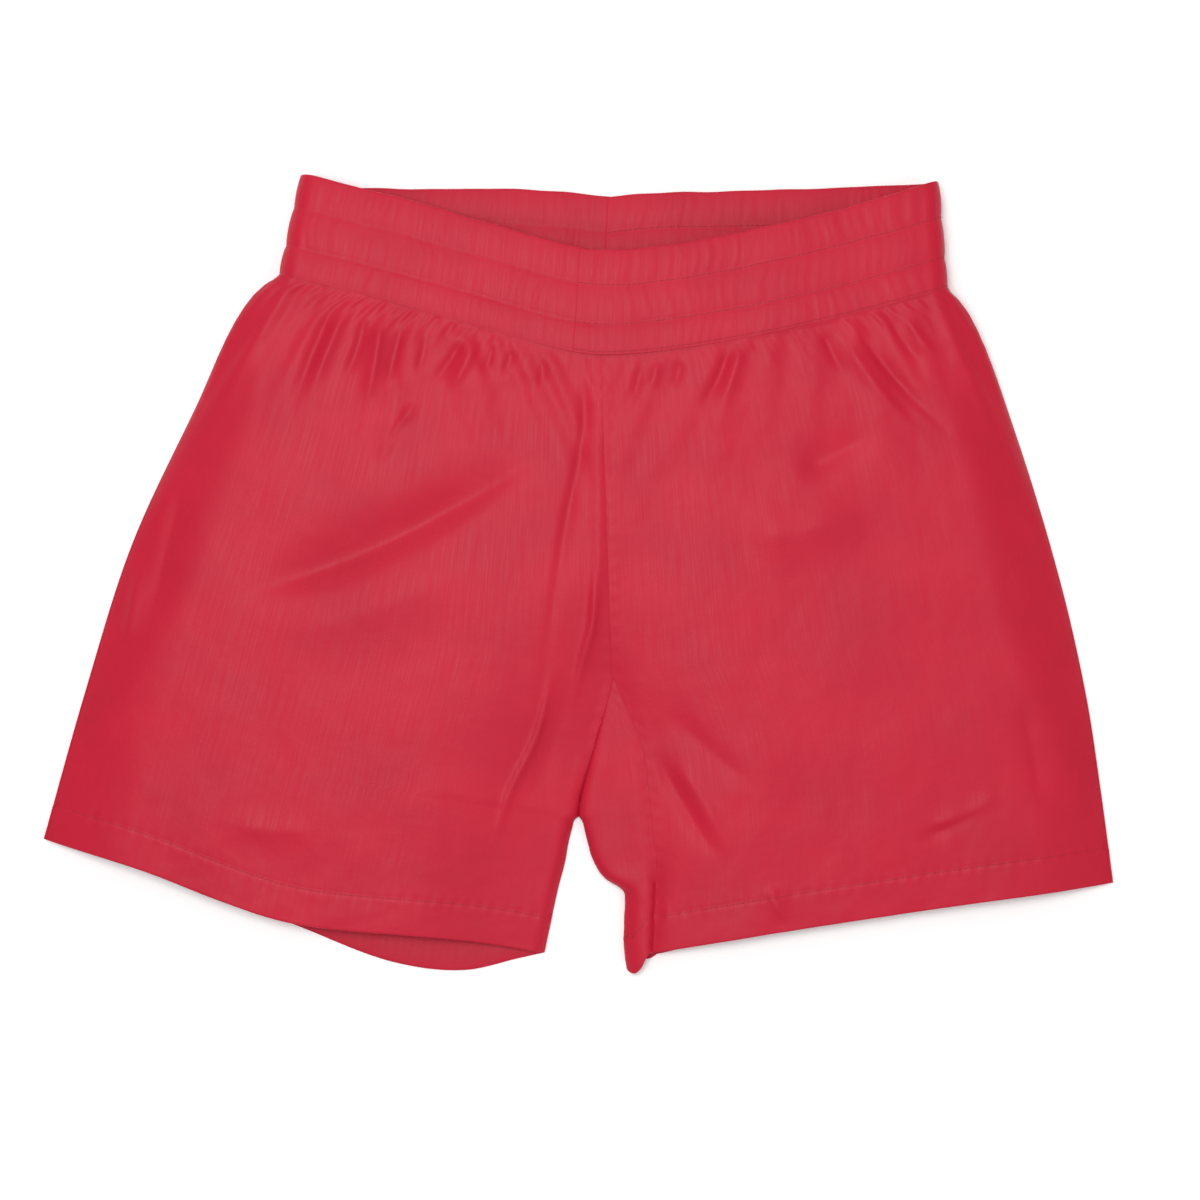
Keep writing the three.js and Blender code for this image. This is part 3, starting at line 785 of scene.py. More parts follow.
def hem_relief(bottom, across, seed):
    """The turned-up hem stands a little proud below its row of stitches, which pulls a shallow groove."""
    step = 0.28 * eased((HEM_ROW + 1.0 - bottom) / 2.0)
    groove = -0.22 * bell((bottom - HEM_ROW) / 1.0)
    wave = np.sin(across * 2 * np.pi / 7.5 + 2.0 * np.sin(across / 19.0 + seed))
    pull = 0.16 * wave * bell((bottom - HEM_ROW) / 3.5)
    return step + groove + pull


def at_depth(values, down, depth):
    """What a panel's grid holds at a distance down each of its columns."""
    columns = range(down.shape[1])
    return np.array([[np.interp(depth[c], down[:, c], values[:, c, a]) for a in range(3)] for c in columns])


def with_hem(points, normal):
    """Turns the bottom edge in and up inside the leg."""
    down = lengths(points, 0)
    rows = [points]
    way = points[-1] - points[-3]
    way /= np.linalg.norm(way, axis=-1, keepdims=True)
    radius = HEM_DROP / 2
    for angle in np.linspace(0, np.pi, 7)[1:-1]:
        turn = points[-1] - normal[-1] * (radius * (1 - np.cos(angle))) + way * (radius * np.sin(angle))
        rows.append(turn[None])
    for back in np.linspace(0, HEM_DEPTH, HEM_ROWS):
        depth = down[-1] - back
        inward = at_depth(normal, down, depth) * (HEM_DROP + 0.1 * np.sin(back / 3))
        rows.append((at_depth(points, down, depth) - inward)[None])
    return np.concatenate(rows)


def row_shares():
    """Shares of a panel's length, a little closer together at the band and the hem."""
    t = np.linspace(0, 1, OUTER_ROWS)
    return t - 0.054 * np.sin(2 * np.pi * t)


TOP_BLEND = 16.0  # a panel comes down from the band's own height over about this length


def panel_grid(side, is_front):
    """A panel's even shape, before its folds."""
    us, vs = np.linspace(0, 1, COLUMNS), row_shares()
    z = (front_height if is_front else back_height)(side, us[None], vs[:, None])
    top = band_point(side, seam_run(side, is_front, us), TUCK, BAND / 2)[:, 2]
    z = z + (top - z[0]) * bell(vs * PANEL_LENGTH / TOP_BLEND)[:, None]
    return np.concatenate([plan(side, is_front, us, vs), z[..., None]], -1)


@functools.lru_cache(maxsize=None)
def front_surface(side):
    points = panel_grid(side, True)
    return raised(side, True, points, wrinkles(side, True, points))


@functools.lru_cache(maxsize=None)
def back_surface(side):
    points = panel_grid(side, False)
    loose = wrinkles(side, False, points)
    if side == "right":
        points = wrapped(points, row_shares())
    points, normal = raised(side, False, points, loose)
    points[..., 2] = np.maximum(points[..., 2], 0.02)
    return points, normal


FLAP_RADIUS = 3.2  # of the fold inside the right leg, once it has opened
FLAP_LIFT = 8.6  # height of that fold at the crotch, where it is still closed
FLAP_SLOPE = 18.0  # the cloth rises to the crotch over this width
FLAP_TUCK = 0.8  # the flap's edge lies this far under the front
FLAP_START = 16.0  # the cloth starts to turn this far from its fold
ROLL_DROP = 8.0  # the roll at the flap's end hangs this far below the hem


def wrapped(points, vs):
    """Carries the back of the right leg round its fold line and over to the seam on the front."""
    seam = inner_line("right", True, vs, points[0, -1, :2])
    out = np.empty_like(points)
    even = np.linspace(0, 1, points.shape[1])
    closer = 1 - (1 - even) * (0.45 + 0.55 * (1 - even))  # columns stand closer together round the fold
    for i, v in enumerate(vs):
        row = points[i]
        fold = row[-1]
        opened = float(eased((v - V_CROTCH) / 0.26))
        tip = ROLL_DROP * float(eased((v - 0.93) / 0.07))
        rising = float(eased(between(v, V_CROTCH - 0.14, V_CROTCH)))
        shares = lerp(even, closer, rising)
        if v <= V_CROTCH:
            lift = FLAP_LIFT * rising * np.clip(1 - (row[:, 0] - fold[0]) / FLAP_SLOPE, 0, 1) ** 2
            path = row + lift[:, None] * (0, 0, 1)
        else:
            end = np.array([seam[i, 0] + FLAP_TUCK, seam[i, 1], CROTCH_LOFT + 0.45])
            room = end[0] - fold[0]
            roll = float(eased(between(v, 0.84, 0.9)))
            reach = min(3.4, 0.45 * room)
            top = lerp(CROTCH_LOFT + 0.6, 2 * FLAP_RADIUS + 0.4, opened)
            turn = [  # along the surface, round the fold and over to the seam
                (fold[0] + 12.0, fold[1], 0.1),
                (fold[0] + 0.35 * room + 1.5, fold[1], lerp(5.0, 0.3, opened)),
                (fold[0], fold[1] - 0.6 * tip, lerp(FLAP_LIFT, FLAP_RADIUS, opened)),
                (fold[0] + reach, lerp(fold[1], end[1], 0.2) - tip, top + 0.4 * roll),
                (
                    lerp(fold[0], end[0], 0.5),
                    lerp(fold[1], end[1], 0.5) - 0.8 * tip,
                    lerp(top, CROTCH_LOFT + 0.8, 0.4) + 1.8 * roll,
                ),
                (lerp(fold[0], end[0], 0.8), lerp(fold[1], end[1], 0.8), CROTCH_LOFT + 0.8 + 0.5 * roll),
                tuple(end - (0, 0, SUNK * roll)),
            ]
            keep = row[row[:, 0] > fold[0] + FLAP_START]
            path = np.concatenate([keep, bend_through([keep[-1], *turn])[1:]])
        step = np.linalg.norm(np.diff(path, axis=0), axis=1)
        run = np.concatenate([[0], np.cumsum(step)]) / step.sum()
        out[i] = np.stack([np.interp(shares, run, path[:, a]) for a in range(3)], -1)
    return out


def bend_through(stops):
    """A smooth line through points."""
    stops = np.asarray(stops, float)
    gaps = np.sqrt(np.linalg.norm(np.diff(stops, axis=0), axis=1)) + 1e-4
    at = np.concatenate([[0], np.cumsum(gaps)])
    return through(np.column_stack([at, stops]), np.linspace(0, at[-1], 90))


# --- The band -------------------------------------------------------------------------------------

BAND_COLUMNS = 500
BAND_RISE = np.linspace(0, 1, 46) ** 0.92 * BAND_HEIGHT  # heights of the rows of points on each of its faces
JOIN = 13.7  # the join in the front of the band lies this far to the left of the centre
PINCHED = 0.75  # half the band's thickness where it is sewn through
CAP = 0.9  # how far its top edge rounds up


def band_range(side):
    if side == "left":
        return JOIN - UNDER, 2 * HALF[side] + UNDER
    return -JOIN, 2 * HALF[side]


def pucker_of(along, channel, seed):
    """The cloth of one channel is longer than the elastic in it, and stands up in small folds across it."""
    random = np.random.default_rng(seed * 7 + channel)
    total = np.zeros_like(along)
    at = along.min() - 6
    while at < along.max() + 6:
        width = random.uniform(1.3, 3.0)
        cluster = 0.65 + 0.45 * math.sin(at / 13.0 + 2.0 * channel) * math.sin(at / 31.0 + seed)
        total += random.uniform(0.35, 1.0) * cluster * bell((along - at) / width)
        at += width * random.uniform(1.7, 3.2)
    return total - 0.4


def band_half_thickness(side, along, h, outer):
    """Half the band's thickness: pinched at its seam and rows, and swollen and puckered between them."""
    stops = [-0.5, *ROWS[1:], BAND_HEIGHT + 1.5]
    half = np.full(np.broadcast(along, h).shape, PINCHED)
    start, end = band_range(side)
    calm = between(np.minimum(along - start, end - along), 0.5, 6.0)
    seed = (3 if side == "left" else 5) + (0 if outer else 20)
    for channel, (low, high) in enumerate(zip(stops[:-1], stops[1:])):
        k = between(h, low, high)
        inside = (h > low) & (h <= high)
        arch = np.sin(np.pi * k) ** 0.62
        bent = along + 1.3 * np.sin(h / 5.0 + along / 31.0) + 0.12 * (h - low) * np.sin(along / 17.0)
        folds = pucker_of(bent, channel, seed) * np.sin(np.pi * k) ** 0.35 * calm
        swell = (sizes().puff * arch + sizes().pucker_height * folds * (1.0 if outer else 0.8)) / MM
        half = np.where(inside, PINCHED + np.maximum(swell, 0), half)
    if side == "left":  # its ends run a little way under the other half's
        half = half - 0.3 * (1 - between(np.minimum(along - start, end - along), 0.0, 1.2))
    return half


def band_shape(side):
    """The band's cloth, from its seam up the outer face, over the top and down the inner face."""
    along = np.linspace(*band_range(side), BAND_COLUMNS)[None]
    rise = BAND_RISE[:, None]
    cap = np.linspace(0, np.pi, 9)[1:-1][:, None]
    outer = band_half_thickness(side, along, rise, True)
    inner = band_half_thickness(side, along, rise[::-1], False)
    top = lerp(outer[-1:], inner[:1], (1 - np.cos(cap)) / 2)
    wave = 0.25 * ripples(along, 0 * along, 33, 40 + (side == "right"))
    offsets = np.concatenate([outer, np.cos(cap) * top, -inner]) + wave
    heights = np.concatenate([rise, BAND_HEIGHT + CAP * np.sin(cap), rise[::-1]])
    uneven = 0.45 * ripples(along, heights, 37, 60 + (side == "right"))
    return band_point(side, along, heights + uneven * heights / BAND_HEIGHT, BAND / 2 + offsets)


@functools.lru_cache(maxsize=None)
def band_surface(side):
    points = band_shape(side)
    return points, normals_of(points, (0, 0, 1))


# --- Meshes ---------------------------------------------------------------------------------------

UV_SPAN = 400.0  # millimetres of cloth to one unit of a piece's own UV map


def grid_mesh(name, points, material, outward=None):
    """A piece from a grid of points, with a UV map laid out by the lengths of its middle row and column."""
    rows, columns = points.shape[:2]
    bm = bmesh.new()
    bmesh.ops.create_grid(bm, x_segments=columns - 1, y_segments=rows - 1, size=1.0)
    row, column = grid_places(bm, rows, columns)
    for edge in bm.edges:
        edge.smooth = not edge.is_boundary  # a cut edge is square to the cloth's face
    mesh = bpy.data.meshes.new(name)
    bm.to_mesh(mesh)
    bm.free()
    mesh.vertices.foreach_set("co", (points[row, column] * MM).astype(np.float32).ravel())
    run_u = lengths(points, 1)[rows // 3]
    run_v = lengths(points, 0)[:, columns // 2]
    uv = mesh.uv_layers.new(name="Cloth")
    corner_of = np.zeros(len(mesh.loops), np.int32)
    mesh.loops.foreach_get("vertex_index", corner_of)
    place = np.stack([run_u[column], run_v[row]], -1) / UV_SPAN
    uv.data.foreach_set("uv", place[corner_of].astype(np.float32).ravel())
    mesh.update()
    obj = finished(name, mesh, material)
    if outward is not None:
        middle = mesh.polygons[(rows // 4) * (columns - 1) + columns // 4].normal
        if middle.dot(Vector(outward)) < 0:
            mesh.flip_normals()
    return obj


def finished(name, mesh, material):
    obj = bpy.data.objects.new(name, mesh)
    bpy.context.scene.collection.objects.link(obj)
    mesh.materials.append(material)
    mesh.polygons.foreach_set("use_smooth", np.ones(len(mesh.polygons), bool))
    mesh.update()
    return obj


def thickened(obj, thickness):
    """Gives a sheet its wall, inwards from the face that shows."""
    wall = obj.modifiers.new("Wall", "SOLIDIFY")
    wall.thickness = thickness
    wall.offset = -1.0
    wall.use_even_offset = False
    return obj


def fold_with(obj):
    """Bakes a piece's placement into its mesh."""
    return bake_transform(obj)


STITCH_LEAN = math.radians(6.0)  # each stitch lies a little across its row
STITCH_REACH = 0.46  # half a stitch, as a share of the distance from one to the next
STITCH_RISE = 0.12  # the middle of the thread lies this far above the cloth


def stitch_row(name, points, normals, material):
    """A row of lock stitches: each is a short swollen length of thread, sunk at both ends."""
    step = np.linalg.norm(np.diff(points, axis=0), axis=1)
    run = np.concatenate([[0], np.cumsum(step)])
    pitch = sizes().stitch / MM
    count = int(run[-1] / pitch)
    middles = (np.arange(count) + 0.5) * run[-1] / count
    half_width = sizes().stitch_width / MM / 2

    def at(where, what):
        return np.array([np.interp(where, run, what[:, a]) for a in range(3)])

    bm = bmesh.new()
    for middle in middles:
        centre, normal = at(middle, points), at(middle, normals)
        way = at(middle + 0.6, points) - at(middle - 0.6, points)
        x = Vector(way).normalized()
        z = Vector(normal).normalized()
        y = z.cross(x).normalized()
        z = x.cross(y)
        turn = Matrix((x, y, z)).transposed().to_4x4() @ Matrix.Rotation(STITCH_LEAN, 4, "Z")
        shape = Matrix.Diagonal((pitch * STITCH_REACH, half_width, half_width * 0.9, 1))
        place = Matrix.Translation(Vector(centre) + z * STITCH_RISE)
        bmesh.ops.create_uvsphere(bm, u_segments=6, v_segments=4, radius=1.0, matrix=place @ turn @ shape)
    bmesh.ops.scale(bm, vec=(MM, MM, MM), verts=bm.verts)
    mesh = bpy.data.meshes.new(name)
    bm.to_mesh(mesh)
    bm.free()
    return finished(name, mesh, material)


# --- Materials ------------------------------------------------------------------------------------


def linear(colour):
    """An sRGB hex value as linear red, green, blue and alpha."""
    values = [int(colour[i : i + 2], 16) / 255 for i in (1, 3, 5)]
    return (*[v / 12.92 if v <= 0.04045 else ((v + 0.055) / 1.055) ** 2.4 for v in values], 1.0)


def add_node(tree, kind, values=None, links=None, **settings):
    """Adds a node with its settings, its sockets' values and its links."""
    made = tree.nodes.new(kind)
    for name, value in settings.items():
        setattr(made, name, value)
    for name, value in (values or {}).items():
        made.inputs[name].default_value = value
    for name, source in (links or {}).items():
        tree.links.new(source, made.inputs[name])
    return made


def new_material(name):
    if name in bpy.data.materials:
        return bpy.data.materials[name], None
    material = bpy.data.materials.new(name)
    material.use_nodes = True
    material.node_tree.nodes.clear()
    return material, material.node_tree


def cloth_millimetres(tree, scale=(1, 1, 1)):
    """Coordinates that run in millimetres over the piece's own UV map, divided by scale."""
    uv = add_node(tree, "ShaderNodeTexCoord")
    size = tuple(UV_SPAN / s for s in scale)
    placed = add_node(tree, "ShaderNodeMapping", {"Scale": size}, {"Vector": uv.outputs["UV"]})
    return placed.outputs["Vector"]


WAVE = 0.314  # how far apart a wave texture's bands are at a scale of 1
MIX_FACTOR, MIX_LOW, MIX_HIGH, MIX_RESULT = 0, 6, 7, 2  # the colour sockets of a Mix node
SHEEN_TINT = "#F2A3AD"


def shade(colour, amount):
    """The same colour made lighter or darker by a share."""
    return (*[max(0.0, c * (1 + amount)) for c in linear(colour)[:3]], 1.0)


def satin_material():
    """Polyester satin, piece-dyed.

    Its long warp floats give a soft, broad shine and a faint streak along the length of the cloth, over a weave
    too fine to see from a step away.
    """
    material, tree = new_material("Piece-dyed polyester satin")
    if tree is None:
        return material
    colour = colours().satin
    fine = cloth_millimetres(tree)
    streaks = cloth_millimetres(tree, (0.9, 34.0, 1.0))  # slubs of about 1 mm by 35 mm along the warp
    cross = cloth_millimetres(tree, (26.0, 0.8, 1.0))
    slub = add_node(
        tree, "ShaderNodeTexNoise", {"Scale": 1.0, "Detail": 3.0, "Roughness": 0.55}, {"Vector": streaks}
    )
    weft = add_node(
        tree, "ShaderNodeTexNoise", {"Scale": 1.0, "Detail": 2.0, "Roughness": 0.5}, {"Vector": cross}
    )
    cloudy = add_node(tree, "ShaderNodeTexNoise", {"Scale": 0.022, "Detail": 3.0}, {"Vector": fine})
    # Floats are 0.25 mm apart on the bolt; drawn 0.7 mm apart, so that they show at all.
    floats = add_node(
        tree,
        "ShaderNodeTexWave",
        {"Scale": WAVE / 0.7, "Distortion": 0.6, "Detail": 1.0, "Detail Scale": 1.4},
        {"Vector": fine},
        bands_direction="DIAGONAL",
    )
    spread = add_node(tree, "ShaderNodeMath", {1: 0.3}, {0: slub.outputs["Fac"]}, operation="MULTIPLY")
    both = {0: cloudy.outputs["Fac"], 1: spread.outputs[0]}
    tone = add_node(tree, "ShaderNodeMath", links=both, operation="ADD")
    even = add_node(
        tree, "ShaderNodeMapRange", {"From Min": 0.4, "From Max": 0.9}, {"Value": tone.outputs[0]}
    )
    base = add_node(
        tree,
        "ShaderNodeMix",
        {MIX_LOW: shade(colour, -0.07), MIX_HIGH: shade(colour, 0.07)},
        {MIX_FACTOR: even.outputs["Result"]},
        data_type="RGBA",
    )
    rough = add_node(
        tree,
        "ShaderNodeMapRange",
        {"From Min": 0.3, "From Max": 0.7, "To Min": 0.46, "To Max": 0.58},
        {"Value": slub.outputs["Fac"]},
    )
    crumple = add_node(
        tree, "ShaderNodeTexNoise", {"Scale": 0.085, "Detail": 3.5, "Roughness": 0.5}, {"Vector": fine}
    )
    soft = add_node(
        tree, "ShaderNodeBump", {"Strength": 0.5, "Distance": 0.0005}, {"Height": crumple.outputs["Fac"]}
    )
    yarn = add_node(
        tree,
        "ShaderNodeBump",
        {"Strength": 0.2, "Distance": 0.00008},
        {"Height": slub.outputs["Fac"], "Normal": soft.outputs["Normal"]},
    )
    pick = add_node(
        tree,
        "ShaderNodeBump",
        {"Strength": 0.25, "Distance": 0.00006},
        {"Height": weft.outputs["Fac"], "Normal": yarn.outputs["Normal"]},
    )
    weave = add_node(
        tree,
        "ShaderNodeBump",
        {"Strength": 0.2, "Distance": 0.00005},
        {"Height": floats.outputs["Fac"], "Normal": pick.outputs["Normal"]},
    )
    shader = add_node(
        tree,
        "ShaderNodeBsdfPrincipled",
        {
            "IOR": 1.5,
            "Specular IOR Level": 0.24,
            "Sheen Weight": 0.07,
            "Sheen Roughness": 0.45,
            "Sheen Tint": linear(SHEEN_TINT),
        },
        {
            "Base Color": base.outputs[MIX_RESULT],
            "Roughness": rough.outputs["Result"],
            "Normal": weave.outputs["Normal"],
        },
    )
    add_node(tree, "ShaderNodeOutputMaterial", links={"Surface": shader.outputs[0]})
    return material


def thread_material():
    """Spun polyester thread: matter than the satin, with the twist of its plies, painted shade in the grooves
    between them and painted highlight on their crests.
    """
    material, tree = new_material("Spun polyester thread")
    if tree is None:
        return material
    colour = colours().thread
    place = add_node(tree, "ShaderNodeTexCoord")
    twist = add_node(
        tree,
        "ShaderNodeTexWave",
        {"Scale": WAVE / 0.0006, "Distortion": 0.8, "Detail": 1.0},  # plies about 0.6 mm apart
        {"Vector": place.outputs["Object"]},
        bands_direction="DIAGONAL",
    )
    # painted shade and painted highlight: the colour follows the twist's height, darker in the grooves between
    # the plies and lighter on their crests
    base = add_node(
        tree,
        "ShaderNodeMix",
        {MIX_LOW: shade(colour, -0.14), MIX_HIGH: shade(colour, 0.12)},
        {MIX_FACTOR: twist.outputs["Fac"]},
        data_type="RGBA",
    )
    bump = add_node(
        tree, "ShaderNodeBump", {"Strength": 0.4, "Distance": 0.00008}, {"Height": twist.outputs["Fac"]}
    )
    shader = add_node(
        tree,
        "ShaderNodeBsdfPrincipled",
        {"Roughness": 0.6, "Sheen Weight": 0.08, "Sheen Roughness": 0.6, "Sheen Tint": linear(SHEEN_TINT)},
        {"Base Color": base.outputs[MIX_RESULT], "Normal": bump.outputs["Normal"]},
    )
    add_node(tree, "ShaderNodeOutputMaterial", links={"Surface": shader.outputs[0]})
    return material


def elastic_material():
    """Woven elastic: off-white polyester over rubber cords, dull, with fine ribs."""
    material, tree = new_material("Woven elastic")
    if tree is None:
        return material
    colour = colours().elastic
    fine = cloth_millimetres(tree)
    ribs = add_node(
        tree,
        "ShaderNodeTexWave",
        {"Scale": WAVE / 1.1, "Distortion": 0.4},  # a cord every 1.1 mm
        {"Vector": fine},
        bands_direction="Y",
    )
    fluff = add_node(tree, "ShaderNodeTexNoise", {"Scale": 0.6, "Detail": 3.0}, {"Vector": fine})
    base = add_node(
        tree,
        "ShaderNodeMix",
        {MIX_LOW: shade(colour, -0.16), MIX_HIGH: shade(colour, 0.0)},
        {MIX_FACTOR: fluff.outputs["Fac"]},
        data_type="RGBA",
    )
    bump = add_node(
        tree, "ShaderNodeBump", {"Strength": 0.6, "Distance": 0.0003}, {"Height": ribs.outputs["Fac"]}
    )
    shader = add_node(
        tree,
        "ShaderNodeBsdfPrincipled",
        {"Roughness": 0.85},
        {"Base Color": base.outputs[MIX_RESULT], "Normal": bump.outputs["Normal"]},
    )
    add_node(tree, "ShaderNodeOutputMaterial", links={"Surface": shader.outputs[0]})
    return material


def label_material():
    """Satin ribbon: smooth, faintly shiny, with a weft of fine cross lines and painted shade between them. It
    is blank.
    """
    material, tree = new_material("Satin ribbon")
    if tree is None:
        return material
    colour = colours().label
    fine = cloth_millimetres(tree)
    lines = add_node(
        tree,
        "ShaderNodeTexWave",
        {"Scale": WAVE / 0.6, "Distortion": 0.2},  # picks 0.3 mm apart, drawn at 0.6 mm
        {"Vector": fine},
        bands_direction="Y",
    )
    # painted shade: the colour is a little darker where the picks' height is low, in the grooves between them
    base = add_node(
        tree,
        "ShaderNodeMix",
        {MIX_LOW: shade(colour, -0.05), MIX_HIGH: shade(colour, 0.0)},
        {MIX_FACTOR: lines.outputs["Fac"]},
        data_type="RGBA",
    )
    bump = add_node(
        tree, "ShaderNodeBump", {"Strength": 0.3, "Distance": 0.00005}, {"Height": lines.outputs["Fac"]}
    )
    shader = add_node(
        tree,
        "ShaderNodeBsdfPrincipled",
        {"Roughness": 0.45, "Sheen Weight": 0.1},
        {"Base Color": base.outputs[MIX_RESULT], "Normal": bump.outputs["Normal"]},
    )
    add_node(tree, "ShaderNodeOutputMaterial", links={"Surface": shader.outputs[0]})
    return material


def floor_material():
    """Matt laminate, near white and without a grain, so that it only catches the shorts' soft shadow."""
    material, tree = new_material("Matt white laminate")
    if tree is None:
        return material
    shader = add_node(
        tree, "ShaderNodeBsdfPrincipled", {"Base Color": linear(colours().floor), "Roughness": 0.9}
    )
    add_node(tree, "ShaderNodeOutputMaterial", links={"Surface": shader.outputs[0]})
    return material


# --- Operators ------------------------------------------------------------------------------------


def make_panel(name, surface, outward, node):
    obj = grid_mesh(name, with_hem(*surface), satin_material(), outward)
    thickened(obj, sizes().cloth)
    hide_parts(node)
    fold_with(obj)


class SHORTS_OT_front_panels(bpy.types.Operator):
    """Make the two front panels, gathered under the band, with their hems turned up"""

    bl_idname = "shorts.front_panels"
    bl_label = "Front panels"

    def execute(self, context):
        for side in SIDES:
            make_panel(f"front_{side}_cloth", front_surface(side), OUTWARD[True], FRONT[side])
        return {"FINISHED"}


class SHORTS_OT_back_panels(bpy.types.Operator):
    """Make the two back panels; the right one turns to the front inside its leg"""

    bl_idname = "shorts.back_panels"
    bl_label = "Back panels"

    def execute(self, context):
        for side in SIDES:
            make_panel(f"back_{side}_cloth", back_surface(side), OUTWARD[False], BACK[side])
        return {"FINISHED"}


class SHORTS_OT_band_cloth(bpy.types.Operator):
    """Make the waistband's cloth, folded over the elastic and puckered in its three channels"""

    bl_idname = "shorts.band_cloth"
    bl_label = "Waistband cloth"

    def execute(self, context):
        for side in SIDES:
            points, _ = band_surface(side)
            obj = grid_mesh(f"band_{side}_cloth", points, satin_material(), (0, 0, 1))
            thickened(obj, sizes().cloth)
            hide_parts(f"waistband_{side}")
            fold_with(obj)
        return {"FINISHED"}


ELASTIC_EDGES = (2.5, BAND_HEIGHT - 2.0)  # heights of its edges inside the band
ELASTIC_HALF = 0.55  # half its thickness, which is less where it is sewn through
RIB_HEIGHT = 0.08
RIB_PITCH = 2.2


class SHORTS_OT_elastic(bpy.types.Operator):
    """Make the elastic inside the band"""

    bl_idname = "shorts.elastic"
    bl_label = "Elastic"

    def execute(self, context):
        for side in SIDES:
            along = np.linspace(*band_range(side), 240)[None]
            up = np.linspace(*ELASTIC_EDGES, 50)[:, None]
            fold = np.concatenate([up, up[::-1]])
            pinch = sum(bell((fold - row) / 2.0) for row in ROWS[1:])
            half = ELASTIC_HALF - 0.25 * pinch + RIB_HEIGHT * np.cos(fold * 2 * np.pi / RIB_PITCH)
            sign = np.concatenate([np.ones_like(up), -np.ones_like(up)])
            points = band_point(side, along, fold, BAND / 2 + sign * half)
            obj = grid_mesh(f"band_{side}_elastic", points, elastic_material(), (0, 0, 1))
            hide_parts(f"waist_elastic_{side}")
            fold_with(obj)
        return {"FINISHED"}


def band_line(side, height, outer):
    """Points and normals along one row of the band's outer or inner face."""
    points, normal = band_surface(side)
    k = np.interp(height, BAND_RISE, np.arange(len(BAND_RISE)))
    if not outer:
        k = len(points) - 1 - k
    low, share = int(k), k - int(k)
    high = min(low + 1, len(points) - 1)
    return lerp(points[low], points[high], share), lerp(normal[low], normal[high], share)


class SHORTS_OT_band_stitches(bpy.types.Operator):
    """Make the band's three rows of stitches, which show on both of its faces"""

    bl_idname = "shorts.band_stitches"
    bl_label = "Band stitches"

    def execute(self, context):
        names = ("waist_seam_stitches", "lower_channel_stitches", "upper_channel_stitches")
        for side in SIDES:
            for name, height in zip(names, ROWS):
                for face, outer in (("outer", True), ("inner", False)):
                    line, normal = band_line(side, height, outer)
                    piece = f"{name}_{side}_{face}_thread"
                    obj = stitch_row(piece, line, normal, thread_material())
                    if outer:
                        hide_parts(f"{name}_{side}")
                    fold_with(obj)
        return {"FINISHED"}


ROW_INSET = 0.02  # share of a panel's width that a hem's row of stitches stops short of each side


def hem_line_of(surface):
    """Points and normals across a panel where its hem is sewn."""
    points, normal = surface
    down = lengths(points, 0)
    depth = down[-1] - HEM_ROW
    place = np.arange(points.shape[1]) / points.shape[1]
    keep = (place > ROW_INSET) & (place < 1 - ROW_INSET)
    return at_depth(points, down, depth)[keep], at_depth(normal, down, depth)[keep]


class SHORTS_OT_hem_stitches(bpy.types.Operator):
    """Make the row of stitches that holds each turned-up hem"""

    bl_idname = "shorts.hem_stitches"
    bl_label = "Hem stitches"

    def execute(self, context):
        for side in SIDES:
            for face, surface in (("front", front_surface(side)), ("back", back_surface(side))):
                line, normal = hem_line_of(surface)
                obj = stitch_row(f"hem_{face}_{side}_thread", line, normal, thread_material())
                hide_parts(f"hem_stitches_{face}_{side}")
                fold_with(obj)
        return {"FINISHED"}


RIBBON_WIDTH = 6.0
RIBBON_COLUMNS = 9
RIBBON_DEPTH = 0.85  # how far inside the panel's outer face its near edge lies


def seam_ribbon(surface, start, end, inset, from_side):
    """A strip on the inside of a panel, beside one of its long seams."""
    points, normal = surface
    shares = row_shares()
    across = lengths(points, 1)
    arch = 0.45 * bulge(np.linspace(0.1, 1.9, RIBBON_COLUMNS))
    strip = []
    for row in np.flatnonzero((shares > start) & (shares < end)):
        at = inset + np.linspace(0, RIBBON_WIDTH, RIBBON_COLUMNS)
        at = at if from_side else across[row, -1] - at
        place = np.stack([np.interp(at, across[row], points[row, :, a]) for a in range(3)], -1)
        inward = np.stack([np.interp(at, across[row], normal[row, :, a]) for a in range(3)], -1)
        loops = 0.084 * np.sin(row * 2.4 + np.linspace(0, 3, RIBBON_COLUMNS))
        strip.append(place - inward * (RIBBON_DEPTH + arch + loops)[:, None])
    return np.array(strip)


class SHORTS_OT_overlock(bpy.types.Operator):
    """Make the overlocked seam allowances inside"""

    bl_idname = "shorts.overlock"
    bl_label = "Overlocked seams"

    def execute(self, context):
        strips = {}
        for side in SIDES:
            strips[f"side_seam_overlock_{side}"] = seam_ribbon(back_surface(side), 0.27, 0.9, 3.5, True)
            surface = front_surface(side) if side == "right" else back_surface(side)
            strips[f"inseam_overlock_{side}"] = seam_ribbon(surface, V_CROTCH, 0.9, 2.0, False)
        for place, surface in (("front", front_surface("left")), ("back", back_surface("left"))):
            strips[f"{place}_rise_overlock"] = seam_ribbon(surface, 0.02, V_CROTCH, 1.0, False)
        for name, points in strips.items():
            obj = grid_mesh(name + "_thread", points, thread_material())
            thickened(obj, 0.3 * MM)
            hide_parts(name)
            fold_with(obj)
        return {"FINISHED"}


LABEL_WIDTH = 30.0
LABEL_LENGTH = 38.0
LABEL_HELD = 1.0  # this much of it is in the seam


